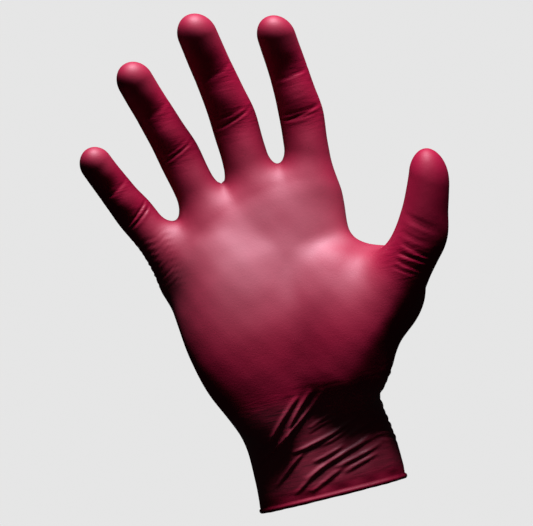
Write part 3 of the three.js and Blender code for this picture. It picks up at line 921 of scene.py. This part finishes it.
@dataclass(frozen=True)
class Folds:
    """Every fold, crease and wrinkle of the film, as a height in mm over the smooth form.

    Pairs are the two ends of a smooth step: where it starts and where it is full.
    """

    form: GloveForm
    valley: float = 0.3
    valley_step: float = 1.9
    valley_width: float = 1.3
    limb_near: tuple = (3.0, 0.0)
    palm_side: tuple = (0.45, -0.35)
    lip_step: float = 2.2
    lip_width: float = 1.5
    full_span: float = 0.45
    gather_band: Band = Band(14.0, 22.0, 50.0, 58.0)
    gather_side: tuple = (0.35, 0.9)
    gather_height: float = 0.42
    gathers: tuple = (Wave(0.5, (0.0, 0.5125, 2.05)), Wave(0.35, (0.0, 0.3275, 1.31), 1.0))
    edge_band: Band = Band(109.0, 117.0, 132.0, 141.0)
    edge_across: tuple = (-40.0, -47.0)
    edge_front: tuple = (0.5, 0.0)
    edge_height: float = 0.16
    edge_warp: Wave = Wave(0.5, (0.7, 0.0, 0.0))
    edge_waves: tuple = (Wave(1.0, (-0.63, 0.0, 2.1)), Wave(0.6, (-0.99, 0.0, 3.3), 0.8))
    slack_height: float = 0.07
    slack_waves: tuple = (
        (Wave(1.0, (0.21, 0.0, 0.13), 0.4), Wave(1.0, (-0.11, 0.2, 0.16))),
        (Wave(0.6, (0.21, 0.0, 0.37)), Wave(1.0, (0.33, -0.18, 0.0), 1.1)),
    )
    cuff_band: Band = Band(0.0, 6.0, 10.0, 40.0)
    cuff_wave: Wave = Wave(0.25, (0.42, 0.3, 0.0))
    front: tuple = (-0.1, 0.6)
    rim: tuple = (2.6, 6.0)

    def wrist_folds(self, p: Array) -> Array:
        """Ridges with a shallow valley below each, fading at both ends.

        The distance to a bowed line makes a bell, less a share of a wider bell a step below it.

        Args:
            p: points, in mm, with X, Y and Z along the last axis.

        Returns:
            Heights, in mm.
        """
        height = np.zeros(len(p))
        for fold in WRIST_FOLDS:
            dx, dz = fold.x2 - fold.x1, fold.z2 - fold.z1
            length = math.hypot(dx, dz)
            ax, az = p[:, 0] - fold.x1, p[:, 2] - fold.z1
            run = (ax * dx + az * dz) / (length * length)
            bow = fold.bow * (1 - (2 * np.clip(run, 0, 1) - 1) ** 2)
            miss = (az * dx - ax * dz) / length - bow
            taper = np.sqrt(np.clip(1 - (2 * run - 1) ** 2, 0, 1))
            below = (miss + self.valley_step * fold.reach) / (self.valley_width * fold.reach)
            height += fold.rise * taper * (bell(miss / fold.reach) - self.valley * bell(below))
        return height

    def limb_creases(self, p: Array) -> Array:
        """Grooves across the palm side of the limbs, each with a lip on its near side.

        A groove is a bell over the distance to the crease, and its lip is a wider bell a step below.

        Args:
            p: points, in mm, with X, Y and Z along the last axis.

        Returns:
            Heights, in mm.
        """
        height = np.zeros(len(p))
        for limb in self.form.limbs:
            along, across, behind = limb.local(p)
            across, behind = across / limb.half_width, behind / limb.half_width
            near = ease(*self.limb_near, limb.field(p)) * ease(*self.palm_side, behind)
            for crease in CREASES[limb.limb]:
                miss = along - (crease.along + crease.tilt * across / 2) * limb.length
                flat = self.full_span * crease.span
                window = ease(crease.span, flat, np.abs(across - crease.centre))
                below = (miss + self.lip_step * crease.reach) / (self.lip_width * crease.reach)
                groove = crease.deep * bell(miss / crease.reach)
                height += near * window * (crease.lip * crease.deep * bell(below) - groove)
        return height

    def edge_gathers(self, p: Array, way: Array) -> Array:
        """Short gathers on the thumb side of the wrist: half the height, plus two runs of waves.

        Args:
            p: points, in mm, with X, Y and Z along the last axis.
            way: outward directions there.

        Returns:
            Heights, in mm.
        """
        window = self.gather_band.at(p[:, 2]) * ease(*self.gather_side, way[:, 0])
        waves = 0.5 + sum(wave.at(p) for wave in self.gathers)
        return self.gather_height * window * waves

    def little_edge(self, p: Array, way: Array) -> Array:
        """Fine wrinkles under the little finger's root: two runs of waves on a warped height.

        Args:
            p: points, in mm, with X, Y and Z along the last axis.
            way: outward directions there.

        Returns:
            Heights, in mm.
        """
        window = self.edge_band.at(p[:, 2]) * ease(*self.edge_across, p[:, 0])
        window = window * ease(*self.edge_front, way[:, 1])
        warped = p + np.outer(self.edge_warp.at(p), [0.0, 0.0, 1.0])
        return self.edge_height * window * sum(wave.at(warped) for wave in self.edge_waves)

    def slack(self, p: Array) -> Array:
        """Slow unevenness of a thin film: products of two long waves, and one wave at the cuff."""
        waves = sum(first.at(p) * second.at(p) for first, second in self.slack_waves)
        return self.slack_height * waves + self.cuff_band.at(p[:, 2]) * self.cuff_wave.at(p)

    def height(self, p: Array, way: Array) -> Array:
        """Height of everything over the smooth form.

        Args:
            p: points on the form, in mm.
            way: its outward direction there.

        Returns:
            One height in mm for each point.
        """
        facing = ease(*self.front, -way[:, 1])
        wrist = facing * self.wrist_folds(p) + self.edge_gathers(p, way)
        rest = self.limb_creases(p) + self.little_edge(p, way) + self.slack(p)
        return ease(*self.rim, p[:, 2]) * (wrist + rest)


@dataclass(frozen=True)
class Tension:
    """Where the film is crumpled, and where it is drawn taut, which gives a pale sheen.

    Pairs are the two ends of a smooth step. Places on a limb are shares of its length, and other
    places are in mm.
    """

    form: GloveForm
    crumpled: Band = Band(3.0, 8.0, 44.0, 60.0)
    finger_joints: tuple = (0.43, 0.7)
    thumb_joints: tuple = (0.6,)
    joint_reach: float = 0.1
    joint_near: tuple = (3.0, 0.0)
    joint_side: tuple = (0.9, 0.2)
    palm: tuple = (66.0, 114.0)
    thumb_side: tuple = (66.0, 30.0)
    ball_place: tuple = (32.0, 107.0)
    ball_reach: tuple = (14.0, 10.0)
    ball_loss: float = 0.85
    knuckles: tuple = (0.93, 1.02)
    knuckle_loss: float = 0.5
    cuff: Band = Band(4.0, 10.0, 42.0, 52.0)
    cuff_sheen: float = 0.8
    limb_near: tuple = (4.0, 0.0)
    limb_loss: float = 0.85
    finger_fade: tuple = (0.05, 0.5)
    thumb_fade: tuple = (0.3, 0.55)
    tip: tuple = (0.8, 0.96)
    tip_sheen: float = 0.35

    def crinkle(self, p: Array) -> Array:
        """How crumpled the film is: the largest of the cuff's band and a bell at each joint.

        Args:
            p: points, in mm, with X, Y and Z along the last axis.

        Returns:
            Values from 0 to 1.
        """
        amount = self.crumpled.at(p[:, 2])
        for limb in self.form.limbs:
            along, _, behind = limb.local(p)
            near = ease(*self.joint_near, limb.field(p))
            near = near * ease(*self.joint_side, behind / limb.half_width)
            joints = self.thumb_joints if limb.limb is Limb.THUMB else self.finger_joints
            for joint in joints:
                off = (along / limb.length - joint) / self.joint_reach
                amount = np.maximum(amount, near * bell(off))
        return amount

    def taut(self, p: Array) -> Array:
        """How taut the film is.

        The palm's step is lowered by a bell at the thumb's web and by steps at the knuckles and
        up each limb. The cuff has a band of its own, and each fingertip a least value.

        Args:
            p: points, in mm, with X, Y and Z along the last axis.

        Returns:
            Values from 0 to 1.
        """
        x, z = p[:, 0], p[:, 2]
        off = (p[:, ::2] - self.ball_place) / self.ball_reach
        ball = bell(np.linalg.norm(off, axis=1))
        tight = ease(*self.palm, z) * ease(*self.thumb_side, x) * (1 - self.ball_loss * ball)
        tight = tight * (1 - self.knuckle_loss * ease(*self.knuckles, z / self.form.palm.top(x)))
        tight = tight + self.cuff_sheen * self.cuff.at(z)
        for limb in self.form.limbs:
            is_thumb = limb.limb is Limb.THUMB
            share = limb.local(p)[0] / limb.length
            near = ease(*self.limb_near, limb.field(p))
            fade = ease(*(self.thumb_fade if is_thumb else self.finger_fade), share)
            tight = tight * (1 - self.limb_loss * near * fade)
            if not is_thumb:
                tight = np.maximum(tight, self.tip_sheen * near * ease(*self.tip, share))
        return tight


@dataclass
class GloveFilm:
    """The glove's one piece: outer wall, inner wall and rolled bead."""

    name: str = "glove_film"
    wall: float = 1.0
    bead_radius: float = 1.3
    bead_steps: int = 14
    bead_start: float = 0.75
    bead_waves: tuple = ((0.035, 9, 0.5), (0.03, 23, 0.0))
    outer_parts: int = 4
    inner_parts: int = 2
    settle_rounds: int = 2
    smooth_rounds: int = 4
    smooth_pull: float = 0.5

    def __post_init__(self) -> None:
        """Sets up the form, its folds and where it is taut."""
        self.form = GloveForm()
        self.folds = Folds(self.form)
        self.tension = Tension(self.form)

    def wrapped(self, cage: Mesh, parts: int, columns: int) -> tuple[Mesh, Array, Array, Array]:
        """A finer mesh on the form, with its folds.

        Args:
            cage: the coarse mesh.
            parts: cuts along each edge.
            columns: quads in the cage's first row.

        Returns:
            The mesh, the ring of its rim, the outward directions and the smooth points.
        """
        fine, grid = cage.refined(parts)
        rim = grid[:columns, :-1, 0].reshape(-1)
        free = np.ones(len(fine.points))
        free[rim] = 0.0
        held = fine.points[rim]
        fine.points = self.form.settle(fine.points, self.settle_rounds)
        fine.points[rim] = held
        fine = fine.relaxed(self.form, free, self.smooth_rounds, self.smooth_pull)
        _, way = self.form.slope(fine.points)
        way[rim, 2] = 0.0
        way = unit(way)
        smooth = fine.points
        height = self.folds.height(smooth, way)
        return Mesh(smooth + way * height[:, None], fine.quads), rim, way, smooth

    def bead_ring(self, start: Array, way: Array, angle: float) -> Array:
        """One ring of the bead: a circle's point at an angle, its radius a little uneven.

        Args:
            start: the outer wall's rim.
            way: its outward directions.
            angle: angle round the bead, from straight outwards.

        Returns:
            The ring's points.
        """
        turn = np.arange(len(start)) / len(start) * 2 * math.pi
        uneven = sum(size * np.sin(count * turn + phase) for size, count, phase in self.bead_waves)
        radius = self.bead_radius * (1 + uneven)
        across = radius * math.cos(angle) - self.wall / 2
        ring = start + way * across[:, None]
        ring[:, 2] = self.bead_radius + radius * math.sin(angle)
        return ring

    def bead(self, start: Array, way: Array, rim: Array, total: int) -> tuple[list, list, Array]:
        """The rolled bead, from the outer wall's rim round to the inner wall.

        Args:
            start: the outer wall's rim.
            way: its outward directions.
            rim: the numbers of its points.
            total: the number of the bead's first point.

        Returns:
            The rings' points, the quads between them, and the numbers of the last ring.
        """
        points, quads, previous = [], [], rim
        last = -math.pi - self.bead_start
        for angle in np.linspace(self.bead_start, last, self.bead_steps + 2)[1:-1]:
            ring = np.arange(total, total + len(rim))
            points.append(self.bead_ring(start, way, angle))
            quads.append(Cage.bands(np.stack([ring, previous])).reshape(-1, 4))
            total += len(rim)
            previous = ring
        return points, quads, previous

    def seam(self, ring: Array, coarse: Array) -> Array:
        """Triangles between the bead's last ring and the inner wall's rim of half as many points.

        Args:
            ring: numbers of the bead's last ring.
            coarse: numbers of the inner wall's rim.

        Returns:
            The triangles.
        """
        step = self.outer_parts // self.inner_parts
        first, second = ring[0::step], ring[1::step]
        third, after = np.roll(first, -1), np.roll(coarse, -1)
        return np.concatenate([np.stack([coarse, second, first], 1),
                               np.stack([coarse, after, second], 1),
                               np.stack([after, third, second], 1)])

    def blank(self, points: Array, quads: Array, triangles: Array) -> bpy.types.Mesh:
        """A smooth-shaded mesh of quads and triangles.

        Args:
            points: the points, in metres.
            quads: four numbers for each.
            triangles: three numbers for each.

        Returns:
            The mesh, without a finish.
        """
        corners = np.concatenate([quads.reshape(-1), triangles.reshape(-1)]).astype(np.int32)
        sizes = np.concatenate([np.full(len(quads), 4), np.full(len(triangles), 3)])
        starts = np.concatenate([[0], np.cumsum(sizes)[:-1]]).astype(np.int32)
        mesh = bpy.data.meshes.new(self.name)
        mesh.vertices.add(len(points))
        mesh.vertices.foreach_set("co", points.astype(np.float32).reshape(-1))
        mesh.loops.add(len(corners))
        mesh.loops.foreach_set("vertex_index", corners)
        mesh.polygons.add(len(sizes))
        mesh.polygons.foreach_set("loop_start", starts)
        mesh.polygons.foreach_set("use_smooth", np.ones(len(sizes), bool))
        mesh.update(calc_edges=True)
        mesh.validate()
        return mesh

    def paint(self, mesh: bpy.types.Mesh, smooth: Array, count: int) -> None:
        """Attributes for the finish: crinkle on both walls, inside on the inner, taut on the outer.

        Args:
            mesh: the mesh, whose first points are those of the two walls.
            smooth: these points on the smooth form, in mm.
            count: how many of them belong to the outer wall.
        """
        both, total = len(smooth), len(mesh.vertices)
        crinkle, inside, taut = np.zeros(total), np.zeros(total), np.zeros(total)
        crinkle[:both] = self.tension.crinkle(smooth)
        inside[count:both] = 1.0
        taut[:count] = self.tension.taut(smooth[:count])
        for name, values in (("crinkle", crinkle), ("inside", inside), ("taut", taut)):
            made = mesh.attributes.new(name, "FLOAT", "POINT")
            made.data.foreach_set("value", values.astype(np.float32))

    def build(self, finish: "NitrileFinish") -> bpy.types.Object:
        """Makes the object, dresses it and ties it to the frame.

        Args:
            finish: the film's finish.

        Returns:
            The finished object.
        """
        cage, columns = Cage(self.form, bead_radius=self.bead_radius).mesh()
        outer, rim, way, smooth = self.wrapped(cage, self.outer_parts, columns)
        lining, inner_rim, inner_way, inner_smooth = self.wrapped(cage, self.inner_parts, columns)
        count, both = len(outer.points), len(outer.points) + len(lining.points)
        rings, bands, last = self.bead(outer.points[rim], way[rim], rim, both)
        points = np.concatenate([outer.points, lining.points - inner_way * self.wall, *rings])
        quads = np.concatenate([outer.quads, lining.quads[:, ::-1] + count, *bands])
        mesh = self.blank(points * MM, quads, self.seam(last, inner_rim + count))
        self.paint(mesh, np.concatenate([smooth, inner_smooth]), count)
        mesh.materials.append(finish.material())
        film = bpy.data.objects.new(self.name, mesh)
        bpy.context.scene.collection.objects.link(film)
        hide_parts("glove")
        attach(film, "root")
        log.info("%s: %d points, %d faces", self.name, len(mesh.vertices), len(mesh.polygons))
        return film


class Wire:
    """A node's output, on which sums and products add Math nodes."""

    def __init__(self, shader: "Shader", socket: bpy.types.NodeSocket) -> None:
        """Keeps the shader that it belongs to and the socket."""
        self.shader = shader
        self.socket = socket

    def _math(self, operation: str, a: "Wire | float", b: "Wire | float") -> "Wire":
        """A Math node of two values."""
        return self.shader.node("ShaderNodeMath", {"operation": operation}, {0: a, 1: b})

    def __add__(self, other: "Wire | float") -> "Wire":
        """Sum."""
        return self._math("ADD", self, other)

    def __radd__(self, other: "Wire | float") -> "Wire":
        """Sum with a number first."""
        return self._math("ADD", other, self)

    def __sub__(self, other: "Wire | float") -> "Wire":
        """Difference."""
        return self._math("SUBTRACT", self, other)

    def __rsub__(self, other: "Wire | float") -> "Wire":
        """Difference from a number."""
        return self._math("SUBTRACT", other, self)

    def __mul__(self, other: "Wire | float") -> "Wire":
        """Product."""
        return self._math("MULTIPLY", self, other)

    def __rmul__(self, other: "Wire | float") -> "Wire":
        """Product with a number first."""
        return self._math("MULTIPLY", other, self)


class Shader:
    """One material's nodes."""

    def __init__(self, name: str) -> None:
        """Starts a material with its principled shader.

        Args:
            name: the material's name.
        """
        self.material = bpy.data.materials.new(name)
        self.material.use_nodes = True
        self.tree = self.material.node_tree
        self.principled = self.tree.nodes["Principled BSDF"]

    def node(self, kind: str, settings: dict, inputs: dict, output: int | str = 0) -> Wire:
        """Adds a node.

        Args:
            kind: the node's type.
            settings: its own settings, set first.
            inputs: its sockets by number or name, each a Wire or a value.
            output: which output the Wire holds.

        Returns:
            A Wire on that output.
        """
        made = self.tree.nodes.new(kind)
        for key, value in settings.items():
            setattr(made, key, value)
        for key, value in inputs.items():
            self.put(made.inputs[key], value)
        return Wire(self, made.outputs[output])

    def put(self, socket: bpy.types.NodeSocket, value: "Wire | float | tuple") -> None:
        """Links a Wire to a socket, or sets the socket's own value.

        Args:
            socket: the socket.
            value: a Wire or the socket's own value.
        """
        if isinstance(value, Wire):
            self.tree.links.new(value.socket, socket)
        else:
            socket.default_value = value

    def mix(self, share: Wire, a: "Wire | tuple", b: "Wire | tuple") -> Wire:
        """Mix of two colours."""
        return self.node("ShaderNodeMix", {"data_type": "RGBA"}, {0: share, 6: a, 7: b}, 2)

    def attribute(self, name: str) -> Wire:
        """The value of a piece's own attribute."""
        return self.node("ShaderNodeAttribute", {"attribute_name": name}, {}, "Fac")

    def noise(self, place: Wire, scale: float, detail: float) -> Wire:
        """Noise over object coordinates, from 0 to 1."""
        return self.node("ShaderNodeTexNoise", {}, {"Vector": place, "Scale": scale, "Detail": detail})

    def stretched(self, place: Wire, scale: tuple, turn: tuple) -> Wire:
        """Object coordinates turned and scaled along each axis."""
        return self.node("ShaderNodeMapping", {}, {"Vector": place, "Scale": scale, "Rotation": turn})


@dataclass(frozen=True)
class NitrileFinish:
    """Crimson nitrile: satin film, faint mottling, a fine grain, and crepe where it crumples."""

    colour: tuple = (0.25, 0.001, 0.029, 1.0)
    deep: tuple = (0.195, 0.0006, 0.019, 1.0)
    lining: tuple = (0.27, 0.019, 0.064, 1.0)
    cloud_scale: float = 38.0
    fine_scale: float = 260.0
    grain_scale: float = 1500.0
    detail: float = 3.0
    grain_detail: float = 4.0
    cloud_share: float = 0.8
    fine_share: float = 0.25
    lining_share: float = 0.7
    roughness: float = 0.52
    fine_roughness: float = 0.08
    grain_roughness: float = 0.05
    lining_roughness: float = 0.12
    crinkle_gloss: float = 0.14
    shine: float = 0.3
    coat_index: float = 1.66
    coat_roughness: float = 0.64
    grain: float = 0.00008
    fine_grain: float = 0.000096
    crepe: float = 0.0004
    crepe_scale: tuple = (80.0, 120.0, 560.0)
    crepe_turn: tuple = (0.0, 0.95, 0.0)
    bump_strength: float = 0.8

    def material(self) -> bpy.types.Material:
        """The film's material.

        Returns:
            The material.
        """
        s = Shader("nitrile")
        place = s.node("ShaderNodeTexCoord", {}, {}, "Object")
        crinkle, inside = s.attribute("crinkle"), s.attribute("inside")
        cloud = s.noise(place, self.cloud_scale, self.detail)
        fine = s.noise(place, self.fine_scale, self.detail)
        grain = s.noise(place, self.grain_scale, self.grain_detail)
        film = s.mix(cloud * self.cloud_share + fine * self.fine_share, self.deep, self.colour)
        base = s.mix(inside * self.lining_share, film, self.lining)
        s.put(s.principled.inputs["Base Color"], base)
        rough = (self.roughness + fine * self.fine_roughness + grain * self.grain_roughness
                 + inside * self.lining_roughness - crinkle * self.crinkle_gloss)
        s.put(s.principled.inputs["Roughness"], rough)
        lines = s.noise(s.stretched(place, self.crepe_scale, self.crepe_turn), 1.0, self.detail)
        height = grain * self.grain + crinkle * lines * self.crepe + fine * self.fine_grain
        bump = s.node("ShaderNodeBump", {}, {"Height": height, "Distance": 1.0,
                                             "Strength": self.bump_strength}, "Normal")
        s.put(s.principled.inputs["Normal"], bump)
        s.put(s.principled.inputs["Specular IOR Level"], self.shine)
        s.put(s.principled.inputs["Coat Weight"], s.attribute("taut"))
        s.put(s.principled.inputs["Coat IOR"], self.coat_index)
        s.put(s.principled.inputs["Coat Roughness"], self.coat_roughness)
        return s.material


@dataclass(frozen=True)
class PaperFinish:
    """The stage's pale matte surface."""

    colour: tuple = (0.79, 0.79, 0.79, 1.0)
    black: tuple = (0.0, 0.0, 0.0, 1.0)
    roughness: float = 0.9
    glow: bool = False

    def material(self) -> bpy.types.Material:
        """The material, matte or evenly bright.

        Returns:
            The material.
        """
        s = Shader("paper")
        s.put(s.principled.inputs["Base Color"], self.black if self.glow else self.colour)
        s.put(s.principled.inputs["Roughness"], self.roughness)
        if self.glow:
            s.put(s.principled.inputs["Specular IOR Level"], 0.0)
            s.put(s.principled.inputs["Emission Color"], self.colour)
            s.put(s.principled.inputs["Emission Strength"], 1.0)
        return s.material


@dataclass(frozen=True)
class Stage:
    """A pale floor well under the glove, and an evenly bright round backdrop behind everything."""

    floor_height: float = -0.25
    floor_hub: float = 0.02
    floor_half: float = 1.6
    floor_rings: int = 12
    floor_columns: int = 64
    dome_radius: float = 4.0
    dome_rise: float = 1.5
    dome_rings: int = 24
    dome_columns: int = 48

    @staticmethod
    def turned(rows: Array, columns: int) -> tuple[Array, Array]:
        """Grids of a row's own value and of the angle round."""
        angles = np.linspace(0, 2 * math.pi, columns, endpoint=False)
        return tuple(np.meshgrid(rows, angles, indexing="ij"))

    def floor(self) -> bpy.types.Object:
        """A round floor: rings of growing radius over the angle.

        Returns:
            The floor.
        """
        rows = np.linspace(self.floor_hub, self.floor_half, self.floor_rings)
        radius, angle = self.turned(rows, self.floor_columns)
        height = np.full_like(angle, self.floor_height)
        grid = np.stack([radius * np.cos(angle), radius * np.sin(angle), height], axis=-1)
        return self.piece("floor", grid, False)

    def dome(self) -> bpy.types.Object:
        """A sphere seen from inside: latitude rings over the angle.

        Returns:
            The backdrop.
        """
        rows = np.linspace(-self.dome_rise, self.dome_rise, self.dome_rings)
        rise, angle = self.turned(rows, self.dome_columns)
        grid = np.stack([np.cos(rise) * np.cos(angle), np.cos(rise) * np.sin(angle),
                         np.sin(rise)], axis=-1)
        return self.piece("backdrop", self.dome_radius * grid, True)

    @staticmethod
    def piece(name: str, grid: Array, glow: bool) -> bpy.types.Object:
        """A stage object from rings of points, its first ring closed by one face.

        Args:
            name: its name.
            grid: points in metres, one row for each ring.
            glow: whether it is evenly bright.

        Returns:
            The object.
        """
        numbers = np.arange(grid.size // 3).reshape(grid.shape[:2])
        faces = [*Cage.bands(numbers).reshape(-1, 4).tolist(), numbers[0, ::-1].tolist()]
        mesh = bpy.data.meshes.new(name)
        mesh.from_pydata(grid.reshape(-1, 3).tolist(), [], faces)
        mesh.materials.append(PaperFinish(glow=glow).material())
        made = bpy.data.objects.new(name, mesh)
        bpy.context.scene.collection.objects.link(made)
        return made

    def build(self) -> None:
        """Makes both. The glove doesn't mirror either, and the backdrop holds back no light."""
        dome, floor = self.dome(), self.floor()
        for made in (dome, floor):
            made.visible_diffuse = False
            made.visible_glossy = False
        dome.visible_transmission = False
        dome.visible_shadow = False
        dome.visible_volume_scatter = False
        log.info("stage: floor and backdrop")


class Role(Enum):
    """What a lamp is there for."""

    KEY = "key"
    FILL = "fill"
    BACK = "back"


@dataclass(frozen=True)
class Lamp:
    """A square softbox: its role, place in metres, power in watts, size in metres and colour."""

    role: Role
    place: tuple
    power: float
    size: float
    colour: tuple = (1.0, 1.0, 1.0)


@dataclass(frozen=True)
class Studio:
    """Soft studio light and the camera at the photograph's angle."""

    aim: tuple = (-0.0045, -0.02, 0.1121)
    distance: float = 3.0
    view_width: float = 0.2452
    roll: float = -14.0
    sensor: float = 36.0
    clip: tuple = (0.05, 20.0)
    world: float = 0.008
    lamps: tuple = (
        Lamp(Role.KEY, (0.239, -0.348, 1.09), 37.0, 0.4, (0.98, 0.87, 1.0)),
        Lamp(Role.FILL, (-0.1, -1.5, 0.6), 0.2, 0.8),
        Lamp(Role.BACK, (0.0, 1.6, 0.25), 14.0, 0.8),
    )

    def camera(self) -> None:
        """A long lens, level with the glove and turned so that the glove leans as it does there."""
        data = bpy.data.cameras.new("camera")
        data.sensor_width = self.sensor
        data.sensor_fit = "HORIZONTAL"
        data.lens = self.sensor * self.distance / self.view_width
        data.clip_start, data.clip_end = self.clip
        camera = bpy.data.objects.new("camera", data)
        bpy.context.scene.collection.objects.link(camera)
        back = Vector((0.0, -1.0, 0.0))
        turned = back.to_track_quat("Z", "Y").to_matrix().to_4x4()
        place = Matrix.Translation(Vector(self.aim) + back * self.distance)
        camera.matrix_world = place @ turned @ Matrix.Rotation(math.radians(self.roll), 4, "Z")
        bpy.context.scene.camera = camera

    def light(self, lamp: Lamp) -> None:
        """Adds one softbox, aimed at the glove.

        Args:
            lamp: the softbox to add.
        """
        data = bpy.data.lights.new(lamp.role.value, "AREA")
        data.energy, data.size, data.color = lamp.power, lamp.size, lamp.colour
        made = bpy.data.objects.new(lamp.role.value, data)
        bpy.context.scene.collection.objects.link(made)
        way = Vector(self.aim) - Vector(lamp.place)
        made.matrix_world = (Matrix.Translation(Vector(lamp.place))
                             @ way.to_track_quat("-Z", "Y").to_matrix().to_4x4())
        made.visible_glossy = lamp.role is not Role.BACK
        log.info("lamp: %s", lamp.role.value)

    def build(self) -> None:
        """Camera, lamps and a faint even world."""
        self.camera()
        for lamp in self.lamps:
            self.light(lamp)
        world = bpy.data.worlds.new("studio")
        world.use_nodes = True
        ground = world.node_tree.nodes["Background"]
        ground.inputs[0].default_value = (1.0, 1.0, 1.0, 1.0)
        ground.inputs[1].default_value = self.world
        bpy.context.scene.world = world
        bpy.context.scene.view_settings.view_transform = "Standard"


def main() -> None:
    """Builds the stage, the studio and the glove."""
    logging.basicConfig(level=logging.INFO, format="%(message)s")
    Studio().build()
    Stage().build()
    GloveFilm().build(NitrileFinish())


if __name__ == "__main__":
    main()
